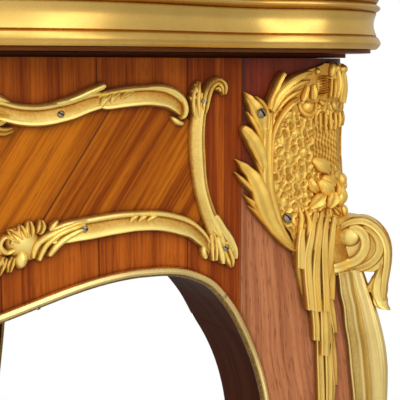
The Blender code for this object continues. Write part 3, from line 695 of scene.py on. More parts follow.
def makeTop():
    mesh = carvedMesh()
    relief = mesh.verts.layers.float["relief"]
    high = rimTop - top["lip"]
    low = rimBottom - top["low"]
    steps = [
        (top["edgeInset"], low), (top["edgeInset"], rimBottom - gap), (top["inset"], rimBottom - gap),
        (top["inset"], high), (top["band"], high), (top["band"] + top["string"], high),
    ]
    rings = [[Vector((spot.x, spot.y, z)) for spot in topOutline(inset)] for inset, z in steps]
    around = len(rings[0])
    under, over = ([Vector((0.0, 0.0, z))] * around for z in (low, high))
    rings = [under, *rings, over]  # closed to the middle
    loft(mesh, rings, False, [[float(step)] * around for step in range(len(rings))])
    for face in mesh.faces:
        step = round(min(vert[relief] for vert in face.verts))
        face.material_index = max(0, step - top["edgeSteps"])
    finishes = [edgeWood, bandVeneer, carcaseWood, topVeneer]  # the string line is pale bare wood
    makePiece(mesh, "table_top", finishes, ["top_board"], top["sharp"])


makeTop()


# Frieze rails with their arched lower edge

apron = {
    "thick": 0.024, "haunchDrop": 0.160, "haunchRise": 0.041, "haunchLength": 0.064,
    # shares of the haunch's length and rise, from the post
    "haunchCurve": [(0.0, 0.0), (0.11, 0.31), (0.22, 0.545), (0.32, 0.715), (0.42, 0.823), (0.62, 0.944),
                    (0.78, 0.985), (1.0, 1.0)],
    "fall": [(0.0, 0.0), (0.125, 0.021)], "middleFall": [(0.125, 0.0), (0.325, 0.010)], "steps": 60,
    # the lower part thickens to the post
    "stepDrop": 0.066, "step": 0.001, "endDeep": 0.058, "endLength": 0.040, "endFlat": 0.018,
    "cheek": 0.012,  # of the soffit, coloured as the leg
    "frontTurn": 0.5,  # faces turned further than this from the front have no veneer and are painted dark as shade
}
haunchZ = friezeTop - apron["haunchDrop"]


def archHeight(fromPost):
    if fromPost < apron["haunchLength"]:
        return haunchZ + apron["haunchRise"] * curve(apron["haunchCurve"], fromPost / apron["haunchLength"])
    past = fromPost - apron["haunchLength"]
    return haunchZ + apron["haunchRise"] - wave(apron["fall"], past) - wave(apron["middleFall"], past)


def archPlaces(side):
    length = halfLength(side) - postWidth
    return [length * (i / apron["steps"]) ** 2 for i in range(apron["steps"] + 1)]


def makeAprons():
    thick = apron["thick"]
    stepZ = friezeTop - apron["stepDrop"]
    for side in sides:
        length = halfLength(side) - postWidth
        right = [(length - place, place) for place in archPlaces(side)]
        whole = right + [(-along, place) for along, place in reversed(right[:-1])]
        mesh = bmesh.new()
        rings = []
        for along, place in whole:
            z = archHeight(place)
            deep = thick + apron["step"]
            share = (apron["endLength"] - place) / (apron["endLength"] - apron["endFlat"])
            deep += (apron["endDeep"] - deep) * min(1.0, max(0.0, share))
            ring = [(0.0, z), (0.0, friezeTop), (-thick, friezeTop)]
            ring += [(-thick, stepZ), (-deep, stepZ), (-deep, z)]
            rings.append([onSide(side, along, out, height) for out, height in ring])
        loft(mesh, rings)
        bmesh.ops.recalc_face_normals(mesh, faces=mesh.faces)
        origin = onSide(side, 0.0, 0.0, 0.0)
        outwards = onSide(side, 0.0, 1.0, 0.0) - origin
        sideways = onSide(side, 1.0, 0.0, 0.0) - origin
        for face in mesh.faces:
            if face.normal.dot(outwards) < apron["frontTurn"]:
                beside = length - abs(sideways.dot(face.calc_center_median())) < apron["cheek"]
                face.material_index = 2 if beside else 1
        finishes = [friezeVeneer, shadedSoffitVeneer, shadedInnerVeneer]
        makePiece(mesh, "frieze_" + side, finishes, ["apron_" + side])


makeAprons()


# Cabriole legs, worked out in a corner's own plan: out from the side face, out from the front face

leg = {
    "kneeZ": friezeTop - 0.196, "kneeStart": 0.078, "kneeOut": 0.0208, "edgeOut": 0.007, "edgeDrop": 0.222,
    "haunchFoot": friezeTop - 0.225, "haunchWidth": 0.0677, "ankleZ": 0.105,
    # shares of the way down to the haunch's foot, and of the narrowing
    "curve": [(0.0, 0.0), (0.10, 0.225), (0.215, 0.445), (0.36, 0.648), (0.52, 0.797), (0.74, 0.92),
              (1.0, 1.0)],
    "ankleIn": 0.027, "ankleWidth": 0.060, "footIn": 0.013,
    "haunchDepth": 0.058, "postDepth": 0.0435, "ankleDepth": 0.024, "cornerRadius": 0.022,
    "ankleRadius": 0.008, "fullness": 0.85, "bowSteps": 20, "faceSteps": 6, "bottom": 0.004, "rows": 150,
    "innerTurn": 0.3,  # painted shade: faces turned further than this from both fronts are dark
}


def ridgeOut(z):
    return wave([(0.0, -leg["footIn"]), (leg["ankleZ"], -leg["ankleIn"]), (leg["kneeZ"], leg["kneeOut"]),
                 (friezeTop - leg["kneeStart"], 0.0)], z)


def edgeOut(z):
    return wave([(0.0, -leg["footIn"]), (leg["ankleZ"], -leg["ankleIn"]),
                 (friezeTop - leg["edgeDrop"], leg["edgeOut"]), (haunchZ, 0.0)], z)


def fromHaunch(z, post, foot, ankle):  # a size that falls along the haunch, then down to the ankle
    if z >= haunchZ:
        return post
    if z > leg["haunchFoot"]:
        return post + (foot - post) * curve(leg["curve"], (haunchZ - z) / (haunchZ - leg["haunchFoot"]))
    return wave([(leg["ankleZ"], ankle), (leg["haunchFoot"], foot)], z)


def edgeWidth(z):
    return fromHaunch(z, postWidth, leg["haunchWidth"], leg["ankleWidth"])


def legHalf(z):  # from the ridge to the front inner edge
    corner = Vector((ridgeOut(z), ridgeOut(z)))
    edge = Vector((-edgeWidth(z), edgeOut(z)))
    radius = wave([(leg["ankleZ"], leg["ankleRadius"]), (leg["kneeZ"], leg["cornerRadius"])], z)
    start = corner + (edge - corner).normalized() * radius
    end = Vector((start.y, start.x))
    line = []
    for t in spaced(0.5, 0.0, leg["bowSteps"] // 2 + 1):
        bend = start * (1 - t) ** 2 + corner * 2 * t * (1 - t) + end * t ** 2
        line.append(start.lerp(end, t).lerp(bend, leg["fullness"]))
    for share in spaced(0.0, 1.0, leg["faceSteps"] + 1)[1:]:
        line.append(start.lerp(edge, share))
    return line


def onCorner(point, z):
    return Vector((postX + point.x, -postY - point.y, z))


def legRing(z):
    half = legHalf(z)
    depth = fromHaunch(z, leg["haunchDepth"], leg["postDepth"], leg["ankleDepth"])
    other = [Vector((point.y, point.x)) for point in half[1:]]
    back = [other[-1] - Vector((depth, 0.0)), half[-1] - Vector((0.0, depth))]
    return [*reversed(half), *other, *back]


def makeLegs():
    mesh = bmesh.new()
    heights = spaced(leg["bottom"], friezeTop, leg["rows"])
    loft(mesh, [[onCorner(point, z) for point in legRing(z)] for z in heights])
    bmesh.ops.recalc_face_normals(mesh, faces=mesh.faces)
    for face in mesh.faces:
        if face.normal.x < leg["innerTurn"] and face.normal.y > -leg["innerTurn"]:
            face.material_index = 1
    eachCorner(mesh, "leg_post", [legVeneer, shadedInnerVeneer], "leg_%s")


makeLegs()


# Bead along the arch and down the legs' inner edges

bead = {
    "width": 0.0056, "height": 0.0034, "blend": 0.014, "sabotTop": 0.082, "arcSteps": 12, "legRows": 70,
    "under": -0.0003, "lift": 0.0002, "footGap": 0.001, "haunchGap": 0.002, "sharp": 50,
    "shadeAcross": [(0.0, 0.2), (0.22, 0.8), (0.46, 4.6)],  # painted shade and reflection, dark on the half towards the open side: across from that side, and brightness
}


def faceTilt(z):
    return math.atan2(ridgeOut(z) - edgeOut(z), edgeWidth(z) + ridgeOut(z))


def beadHalf(side):
    half = halfLength(side)
    points = []
    for z in spaced(bead["sabotTop"] + bead["footGap"], haunchZ - bead["haunchGap"], bead["legRows"]):
        points.append((Vector((half - edgeWidth(z), edgeOut(z), z)), faceTilt(z)))
    for place in archPlaces(side):
        overLeg = max(0.0, 1.0 - place / bead["blend"])
        spot = Vector((half - postWidth - place, 0.0, archHeight(place)))
        points.append((spot, faceTilt(haunchZ) * overLeg))
    return points


def makeBeads():
    profile = [(0.0, bead["under"])]
    for i in range(bead["arcSteps"] + 1):
        angle = math.pi * i / bead["arcSteps"]
        across = (1 - math.cos(angle)) * bead["width"] / 2
        profile.append((across, bead["lift"] + math.sin(angle) * bead["height"]))
    profile.append((bead["width"], bead["under"]))
    for side in sides:
        half = beadHalf(side)
        path = half + [(Vector((-spot.x, spot.y, spot.z)), -tilt) for spot, tilt in reversed(half[:-1])]
        rings = []
        shades = [wave(bead["shadeAcross"], across / bead["width"]) for across, _ in profile]
        for i, (spot, tilt) in enumerate(path):
            run = (path[min(i + 1, len(path) - 1)][0] - path[max(i - 1, 0)][0]).normalized()
            normal = Vector((-math.sin(tilt), math.cos(tilt), 0.0))
            normal = (normal - run * normal.dot(run)).normalized()
            across = normal.cross(run)
            rings.append([onSide(side, *(spot + across * a + normal * b)) for a, b in profile])
        mesh = carvedMesh()
        loft(mesh, rings, True, [shades] * len(rings))
        makePiece(mesh, "arch_bead_" + side, beadGilt, ["bead_" + side], bead["sharp"])


makeBeads()
print("rim, frieze, legs and beads are made")

# Carved bronze: strokes laid along a path on a surface, sized in mm

carving = {
    "base": -0.3,  # the strokes' undersides lie this far inside what carries them
    "stepLength": 1.1,
    "shade": 0.9,  # painted shade: how much darker than their height the low parts of a stroke are
    "blunt": 0.4,  # how far strands round off at their ends
    "fewestSteps": 8,
    "mostSteps": 90,
    "curveSteps": 12,
    "bossSteps": 3,
    "bossFoot": -0.2,
    "sharp": 50,
    "screwSharp": 40,
    # across from -1 to 1, and height from 0 to 1
    "round": [(-1.0, 0.0), (-0.94, 0.34), (-0.76, 0.66), (-0.42, 0.91), (0.0, 1.0),
              (0.42, 0.91), (0.76, 0.66), (0.94, 0.34), (1.0, 0.0)],
    "leaf": [(-1.0, 0.0), (-0.95, 0.45), (-0.8, 0.8), (-0.52, 0.95), (-0.24, 0.78), (-0.07, 0.5),
             (0.07, 0.5), (0.24, 0.78), (0.52, 0.95), (0.8, 0.8), (0.95, 0.45), (1.0, 0.0)],
    "blade": [(-1.0, 0.0), (-0.97, 0.45), (-0.88, 0.76), (-0.62, 0.95), (-0.36, 0.93), (-0.1, 0.84),
              (0.1, 0.84), (0.36, 0.93), (0.62, 1.0), (0.88, 0.8), (0.97, 0.45), (1.0, 0.0)],
    "strand": [(-1.0, 0.0), (-0.97, 0.6), (-0.86, 0.94), (-0.6, 1.0), (-0.34, 0.84), (0.0, 0.74),
               (0.34, 0.84), (0.6, 1.0), (0.86, 0.94), (0.97, 0.6), (1.0, 0.0)],
    "moulded": [(-1.0, 0.0), (-0.97, 0.5), (-0.86, 0.88), (-0.7, 1.0), (-0.54, 0.92), (-0.44, 0.62),
                (-0.38, 0.5), (-0.3, 0.6), (0.0, 0.66), (0.3, 0.72), (0.52, 0.84), (0.66, 0.97),
                (0.82, 0.95), (0.94, 0.6), (1.0, 0.0)],
    "spine": [(-1.0, 0.0), (-0.95, 0.5), (-0.75, 0.72), (-0.3, 0.76), (0.0, 0.8), (0.14, 1.0), (0.3, 1.0),
              (0.42, 0.66), (0.5, 0.48), (0.6, 0.62), (0.8, 0.7), (0.94, 0.5), (1.0, 0.0)],
}


def smoothPath(points):
    spots = [Vector(point) for point in points]
    ends = [spots[0] * 2 - spots[1], *spots, spots[-1] * 2 - spots[-2]]
    fine = []
    for p0, p1, p2, p3 in zip(ends, ends[1:], ends[2:], ends[3:]):
        for j in range(carving["curveSteps"]):
            t = j / carving["curveSteps"]
            bend = (p0 * -1 + p1 * 3 - p2 * 3 + p3) * t + (p0 * 2 - p1 * 5 + p2 * 4 - p3)
            fine.append(p1 + ((p2 - p0) + bend * t) * t / 2)
    fine.append(spots[-1])
    reach = [0.0]
    for a, b in zip(fine, fine[1:]):
        reach.append(reach[-1] + (b - a).length)
    count = round(reach[-1] / carving["stepLength"])
    count = max(carving["fewestSteps"], min(carving["mostSteps"], count))
    line = []
    for i in range(count + 1):
        want = reach[-1] * i / count
        k = max(1, min(bisect.bisect_left(reach, want), len(reach) - 1))
        line.append(fine[k - 1].lerp(fine[k], (want - reach[k - 1]) / (reach[k] - reach[k - 1])))
    return line, reach[-1]


def spread(values, share):  # eases through evenly spaced values
    return wave([(i / (len(values) - 1), value) for i, value in enumerate(values)], share)


def stroke(mesh, surface, points, widths, height, section="round"):
    line, length = smoothPath(points)
    last = len(line) - 1
    rings = []
    shades = []
    for i, spot in enumerate(line):
        run = (line[min(i + 1, last)] - line[max(i - 1, 0)]).normalized()
        left = Vector((-run.y, run.x))
        wide = spread(widths, i / last)
        for fromEnd, endWidth in ((length * i / last, widths[0]), (length * (last - i) / last, widths[-1])):
            endLength = endWidth * (carving["blunt"] if section == "strand" else 1.0)
            if fromEnd < endLength:
                wide *= math.sqrt(1 - (1 - fromEnd / endLength) ** 2)
        tall = height * math.sqrt(wide / max(widths)) - carving["base"]
        if wide == 0.0 or i in (0, last):
            wide = tall = 0.0
        outs = [carving["base"] + q * tall for _, q in carving[section]]
        rings.append([surface(spot + left * x * wide, out) for (x, _), out in zip(carving[section], outs)])
        shades.append([q * tall - carving["shade"] * (1 - q) * tall for _, q in carving[section]])
    loft(mesh, rings, False, shades)


def strokes(mesh, surface, rows):
    for row in rows:
        stroke(mesh, surface, *row)


def pearl(mesh, surface, centre, radii, height, turn=0.0):  # a rounded boss
    relief = mesh.verts.layers.float["relief"]
    made = bmesh.ops.create_icosphere(mesh, subdivisions=carving["bossSteps"], radius=1.0)["verts"]
    turned = Matrix.Rotation(math.radians(turn), 2)
    for vert in made:
        out = max(vert.co.z, carving["bossFoot"]) * height
        vert[relief] = out
        beside = turned @ Vector((vert.co.x * radii[0], vert.co.y * radii[1]))
        vert.co = surface(Vector(centre) + beside, out)


# shares of the head's radius, and its brightness
screwHead = {
    "segments": 16, "rows": 8, "slot": 0.2, "dome": 0.6, "foot": -0.4, "bright": 5.0,
    "floorRadius": 0.9, "floorRise": 0.3, "floorRows": 6,  # the slot's floor, painted dark as the slot's shadow
}


def screw(mesh, surface, centre, radius, out, turn):  # a slotted round head
    head = carvedMesh()
    relief = head.verts.layers.float["relief"]
    around = screwHead["segments"]
    for side in (1, -1):
        made = bmesh.ops.create_uvsphere(head, u_segments=around, v_segments=screwHead["rows"],
                                         radius=1.0)["verts"]
        edges = list({edge for vert in made for edge in vert.link_edges})
        faces = list({face for vert in made for face in vert.link_faces})
        cut = bmesh.ops.bisect_plane(head, geom=made + edges + faces,
                                     plane_co=(screwHead["slot"] * side, 0, 0),
                                     plane_no=(side, 0, 0), clear_inner=True)
        slotEdges = [edge for edge in cut["geom_cut"] if isinstance(edge, bmesh.types.BMEdge)]
        bmesh.ops.holes_fill(head, edges=slotEdges, sides=0)
    for vert in head.verts:
        vert[relief] = screwHead["bright"]
    # the floor keeps the lowest brightness, which paints the slot's shadow
    floor = bmesh.ops.create_uvsphere(head, u_segments=around, v_segments=screwHead["floorRows"],
                                      radius=screwHead["floorRadius"])["verts"]
    for vert in floor:
        vert.co.z *= screwHead["floorRise"]
    turned = Matrix.Rotation(math.radians(turn), 2)
    for vert in head.verts:
        spot = Vector(centre) + turned @ Vector((vert.co.x, vert.co.y)) * radius
        vert.co = surface(spot, out + max(vert.co.z, screwHead["foot"]) * radius * screwHead["dome"])
    data = bpy.data.meshes.new("screwHead")
    head.to_mesh(data)
    head.free()
    mesh.from_mesh(data)
    bpy.data.meshes.remove(data)


def friezeSurface(side, flip):  # distance from the leg post and depth below the frieze's top
    def place(spot, out):
        along = flip * (halfLength(side) - postWidth - spot.x * mm)
        return onSide(side, along, out * mm, friezeTop - spot.y * mm)
    return place


def skinRow(z):  # the leg's half section with the length along it and its outward directions
    line = legHalf(z)
    reach = [0.0]
    for p, q in zip(line, line[1:]):
        reach.append(reach[-1] + (q - p).length)
    runs = [(q - p).normalized() for p, q in zip(line, line[1:])]
    away = [Vector((1.0, 1.0)).normalized()]
    away += [Vector(((p + q).y, -(p + q).x)).normalized() for p, q in zip(runs, runs[1:])]
    away.append(Vector((runs[-1].y, -runs[-1].x)))
    return line, reach, away


skinStep = 0.0005
skinRows = {}


def onSkin(across, z, out):  # across the front half of a leg from its ridge
    row = z / skinStep
    low = math.floor(row)
    for key in (low, low + 1):
        if key not in skinRows:
            skinRows[key] = skinRow(key * skinStep)
    share = row - low
    (line0, reach0, away0), (line1, reach1, away1) = skinRows[low], skinRows[low + 1]
    reach = [p + (q - p) * share for p, q in zip(reach0, reach1)]
    k = max(1, min(bisect.bisect_left(reach, across), len(reach) - 1))
    f = (across - reach[k - 1]) / (reach[k] - reach[k - 1])
    start = line0[k - 1].lerp(line1[k - 1], share)
    end = line0[k].lerp(line1[k], share)
    away = away0[k - 1].lerp(away0[k], min(f, 1.0))
    return start + (end - start) * f + away * out


def cornerSurface(flip):  # distance from the ridge and depth below the frieze's top, on the front right leg
    def place(spot, out):
        z = friezeTop - spot.y * mm
        point = onSkin(abs(spot.x) * mm, z, out * mm)
        return onCorner(point if spot.x * flip > 0 else Vector((point.y, point.x)), z)
    return place


def skinSideways(reach, z):  # how far the leg's skin lies from the diagonal plane
    line = skinRow(z)[0]
    spots = [((point.x + point.y) / math.sqrt(2), (point.y - point.x) / math.sqrt(2)) for point in line]
    if reach >= spots[0][0]:
        return 0.0
    for (r0, s0), (r1, s1) in zip(spots, spots[1:]):
        if reach >= r1:
            return s0 + (s1 - s0) * (reach - r0) / (r1 - r0)
    return spots[-1][1]


def diagonalSurface(flip, half):  # reach from the post's square corner and depth below the frieze's top
    def place(spot, out):
        z = friezeTop - spot.y * mm
        sideways = flip * (max(half * mm, skinSideways(spot.x * mm, z) if half else 0.0) + out * mm)
        point = Vector((spot.x * mm - sideways, spot.x * mm + sideways)) / math.sqrt(2)
        return onCorner(point, z)
    return place


# Frames of the frieze panels: (distance from the leg post, depth), half widths, height and section

panelFrame = {
    "members": [
        ([(84, 21.3), (94, 23.2), (106, 26.8), (120, 29), (131, 28.6), (141, 26.3), (150, 23.5)],
         [4.6, 5.3, 5.7, 5.9, 5.8, 5.6, 4.5], 4.2, "moulded"),
        ([(38.3, 30.5), (42.6, 25), (50, 21.3), (59.5, 20), (70, 20.4), (79, 21.4), (90, 23)],
         [3.6, 5.2, 5.9, 5.8, 5.8, 5.6, 4.6], 4.3, "moulded"),
        ([(20.8, 108), (26.5, 100.8), (35.5, 93.8), (51, 88.8), (66, 87.4), (81, 87.7), (95, 88.9),
          (108, 90), (119, 92)],
         [2.6, 4.6, 5.7, 5.8, 5.8, 6.2, 6.4, 6.2, 4.6], 4.3, "moulded"),
        ([(25.3, 18), (27.3, 26), (29, 35), (29.7, 45), (28.8, 58.7), (26.8, 72.8), (22, 87.5), (16.5, 99),
          (11.5, 110)],
         [3.4, 4.6, 5.0, 5.0, 4.6, 4.5, 4.8, 5.8, 4.6], 4.4, "spine"),
    ],
    "leaves": [
        # ridge that ends in a blunt tip, and the leaf bud beside it
        ([(118, 24.2), (104, 21.4), (93, 17.2), (84.5, 14)], [1.0, 2.2, 2.6, 2.3], 4.9),
        ([(88.6, 26), (86, 22), (82, 18.3)], [1.5, 2.4, 1.4], 5.6),
        ([(83, 24), (81, 20.6), (77, 17.4)], [1.2, 2.0, 1.3], 5.5),
        ([(77.5, 21.8), (73.5, 19.3), (68, 17)], [1.0, 1.9, 1.0], 5.2),
        # curl that closes the second member
        ([(64, 15.6), (54, 15.5), (45.5, 17.4), (40, 21.5), (37.5, 27), (38.6, 31.6), (41.6, 32)],
         [0.8, 1.6, 1.9, 2.0, 2.0, 1.9, 1.6], 5.2),
        ([(46.5, 31.4), (42.3, 34.6), (38, 36)], [1.0, 2.0, 1.5], 3.4),
        # leaf and crook at the top of the upright
        ([(30, 34), (31.2, 24), (30.3, 17), (28.5, 12)], [2.2, 3.2, 3.1, 1.4], 4.7, "leaf"),
        ([(31.2, 27), (34.8, 20.3)], [1.6, 1.1], 3.4),
        ([(30.8, 23), (33.4, 16.8)], [1.6, 1.1], 3.6),
        ([(30.2, 19.5), (31.5, 13.6)], [1.5, 1.0], 3.8),
        ([(26, 31), (24.8, 23), (22, 15.6), (17.3, 12.8), (13.6, 15.4), (13.2, 21)],
         [1.6, 2.5, 2.6, 2.5, 2.4, 1.7], 5.6, "leaf"),
        ([(19.5, 17.6), (16.8, 16.6), (15.2, 19)], [0.9, 1.3, 1.0], 4.4),
        # leaves at the foot of the upright
        ([(19.5, 87.3), (13.5, 96.7), (9.1, 102.5), (5.4, 110.4), (4.8, 115)], [2.4, 2.8, 2.8, 2.6, 1.4],
         4.4, "blade"),
        ([(15, 92.6), (8, 99.4)], [1.6, 0.9], 4.2),
        ([(26, 104), (25.5, 108.4), (23.6, 112.8)], [1.6, 2.2, 1.8], 3.4),
        ([(21, 97), (20, 101.5), (19.4, 107.7), (19.2, 114.6)], [2.0, 2.4, 2.6, 2.1], 5.2, "leaf"),
        ([(17.5, 99), (16.5, 103.9), (14.7, 109.5), (13.1, 116.8)], [1.8, 2.3, 2.5, 1.5], 5.6),
        ([(12.5, 103), (11.1, 108.5), (9, 113.4), (6.9, 119.6)], [2.0, 2.9, 3.0, 1.2], 5.2, "leaf"),
        ([(20.6, 95), (18.3, 98.1), (16.2, 99.5), (14, 98)], [0.8, 1.3, 1.4, 0.8], 5.6),
        # leaflets on the lower member's ridge
        ([(73, 88.2), (70, 85), (65.6, 83.4)], [0.9, 1.7, 0.9], 5.2),
        ([(68, 88.4), (64.5, 85.2), (60, 83.8)], [0.9, 1.7, 0.9], 5.2),
        ([(63, 88.4), (59, 85.8), (53.6, 84.4)], [0.9, 1.6, 0.8], 5.0),
        # acanthus where the lower members meet
        ([(118, 89), (115, 85.6), (112, 82.8)], [1.6, 2.0, 1.0], 3.8),
        ([(124, 90), (122, 86), (122.3, 81.8)], [2.0, 2.8, 1.8], 4.8, "leaf"),
        ([(128, 92), (128.2, 87), (128.6, 81.8)], [2.2, 3.0, 1.8], 4.9, "leaf"),
        ([(131, 92), (132.4, 88), (133.6, 83.6)], [2.2, 3.0, 1.6], 4.8, "leaf"),
        ([(132, 93), (136, 89.5), (139.6, 85.8)], [2.4, 3.2, 1.8], 4.6, "leaf"),
        ([(97, 89.2), (101, 89.6), (108.9, 92.9), (114, 96.4), (118.9, 102)], [1.4, 2.2, 2.6, 2.5, 1.8], 5.2),
        ([(97, 86.5), (104, 87.6), (112.7, 90.3), (119.3, 94.8), (122.1, 99), (124.2, 103.8)],
         [1.2, 1.7, 2.0, 2.1, 2.0, 1.7], 5.7),
        ([(96, 84.2), (102.9, 85.3), (110.7, 87.6), (120.4, 91.5), (125.4, 95.7), (127.3, 102.4)],
         [1.2, 1.6, 2.0, 2.3, 2.1, 1.4], 6.0),
        ([(136, 96), (141, 97.4), (144.2, 93.6), (141.6, 89.6), (137.6, 91), (139, 94)],
         [1.4, 1.7, 1.8, 1.6, 1.4, 1.1], 5.2),
        ([(137, 99.5), (139, 104), (139.8, 108.4)], [1.6, 2.4, 1.4], 4.6, "leaf"),
        ([(141, 99), (144, 104.5), (145.4, 109.6)], [1.8, 2.6, 1.4], 4.8, "leaf"),
        ([(146, 97), (151.5, 100.5), (156, 105)], [1.8, 2.6, 1.4], 4.6, "leaf"),
        # flourish where the upper members meet
        ([(149, 28.5), (142.5, 28), (136.4, 29.8)], [1.4, 2.2, 1.2], 5.4, "leaf"),
        ([(150, 32), (143, 32.4), (138.6, 31.4)], [1.4, 2.0, 1.1], 5.4),
        ([(149, 33.5), (141.5, 36.6), (134.8, 35.6)], [1.5, 2.3, 1.4], 4.6, "leaf"),
        ([(152, 20), (144, 19.6), (136, 22.5)], [1.6, 2.2, 0.9], 4.8),
    ],
    "bosses": [((133, 101.6), (3.8, 5.2), 6.2, -12), ((131, 94), (11, 8.5), 3.4, -30),
               ((15.5, 105), (8.5, 9.5), 3.2, 0)],
    # screws through the frame, and pins through the bead below it
    "screws": [((110.3, 28.6), 1.9, 3.4, 60), ((26.2, 23.5), 1.8, 3.8, 20), ((12.4, 106.8), 1.9, 4.6, 50),
               ((98.2, 88.8), 1.9, 3.2, 80), ((124.9, 127.5), 1.4, 3.2, 30), ((12.7, 135.1), 1.4, 3.2, 0)],
    # long members beyond the corner, up to the middle of the side
    "upperLong": [(143, 24.6), (152, 24), (166, 26), (190, 29.6), (220, 31.4)],
    "lowerLong": [(140, 99), (150, 101.5), (166, 104.4), (190, 107.6), (220, 110)],
    "longDepth": (32.0, 113.0),  # at the middle
    "longWidths": [4.0, 5.4, 5.7, 5.7, 5.6], "longHeight": 4.2,
    # leaves of the middle ornament: sideways from the middle and depth from the member's line
    "palmette": [
        ([(0, 5), (0, -4), (0, -13)], [2.4, 3.4, 1.2], 6.0),
        ([(2, 5), (6, -3), (9, -10)], [2.0, 3.0, 1.1], 5.4),
        ([(4, 5.5), (11, 0), (16.5, -5.5)], [2.0, 2.8, 1.0], 5.0),
        ([(5, 7), (14, 4), (22, 0)], [1.8, 2.4, 0.9], 4.6),
        ([(3, 8), (8, 11.5), (14, 12)], [1.6, 2.2, 0.9], 4.6),
    ],
}


def makeFrames():
    for side in sides:
        mesh = carvedMesh()
        bolts = carvedMesh()
        middle = (halfLength(side) - postWidth) / mm
        for flip in (1, -1):
            surface = friezeSurface(side, flip)
            strokes(mesh, surface, panelFrame["members"])
            strokes(mesh, surface, panelFrame["leaves"])
            for centre, radii, height, turn in panelFrame["bosses"]:
                pearl(mesh, surface, centre, radii, height, turn)
            for bolt in panelFrame["screws"]:
                screw(bolts, surface, *bolt)
            for line, depth, lift in zip(("upperLong", "lowerLong"), panelFrame["longDepth"], (1, -1)):
                path = panelFrame[line] + [(middle, depth)]
                stroke(mesh, surface, path, panelFrame["longWidths"], panelFrame["longHeight"], "moulded")
                for points, widths, height in panelFrame["palmette"]:
                    spots = [(middle - across, depth + down * lift) for across, down in points]
                    stroke(mesh, surface, spots, widths, height, "leaf")
        makePiece(mesh, "frieze_frame_" + side, mountGilt, ["panel_frame_" + side],
                  carving["sharp"])
        makePiece(bolts, "frieze_screws_" + side, screwSteel, [], carving["screwSharp"])


panel = {
    "upper": [(21, 88), (26.8, 72.8), (28.8, 58.7), (29.7, 45), (30.5, 37), (38, 31), (42.6, 25),
              (50, 21.3), (60, 20), (79, 21.4), (94, 23.2), (106, 26.8), (120, 29), (131, 28.6), (150, 24),
              (166, 26), (190, 29.6), (220, 31.4)],
    "lower": [(21, 101), (36, 93.5), (51, 88.7), (66, 87.5), (95, 89), (118, 93), (135, 98), (166, 104.4),
              (220, 110)],
    "out": 0.25, "under": -0.2, "steps": 160,
}


def lineAt(points, at):
    for (x0, y0), (x1, y1) in zip(points, points[1:]):
        if at <= x1:
            return y0 + (y1 - y0) * (at - x0) / (x1 - x0)
    return points[-1][1]


def makePanels():  # diagonal veneer inside the frame's line
    for side in sides:
        middle = (halfLength(side) - postWidth) / mm
        mesh = bmesh.new()
        for flip in (1, -1):
            surface = friezeSurface(side, flip)
            upper = panel["upper"] + [(middle, panelFrame["longDepth"][0])]
            lower = panel["lower"] + [(middle, panelFrame["longDepth"][1])]
            rings = []
            for place in spaced(upper[0][0], middle, panel["steps"]):
                edges = [(lineAt(upper, place), panel["out"]), (lineAt(lower, place), panel["out"])]
                edges += [(depth, panel["under"]) for depth, _ in reversed(edges)]
                rings.append([surface(Vector((place, depth)), out) for depth, out in edges])
            loft(mesh, rings)
        makePiece(mesh, "frieze_panel_" + side, panelVeneer, [])


makePanels()
makeFrames()
print("frieze frames are carved")

# Corner mounts on the leg posts: (distance from the ridge, depth), half widths, height and section

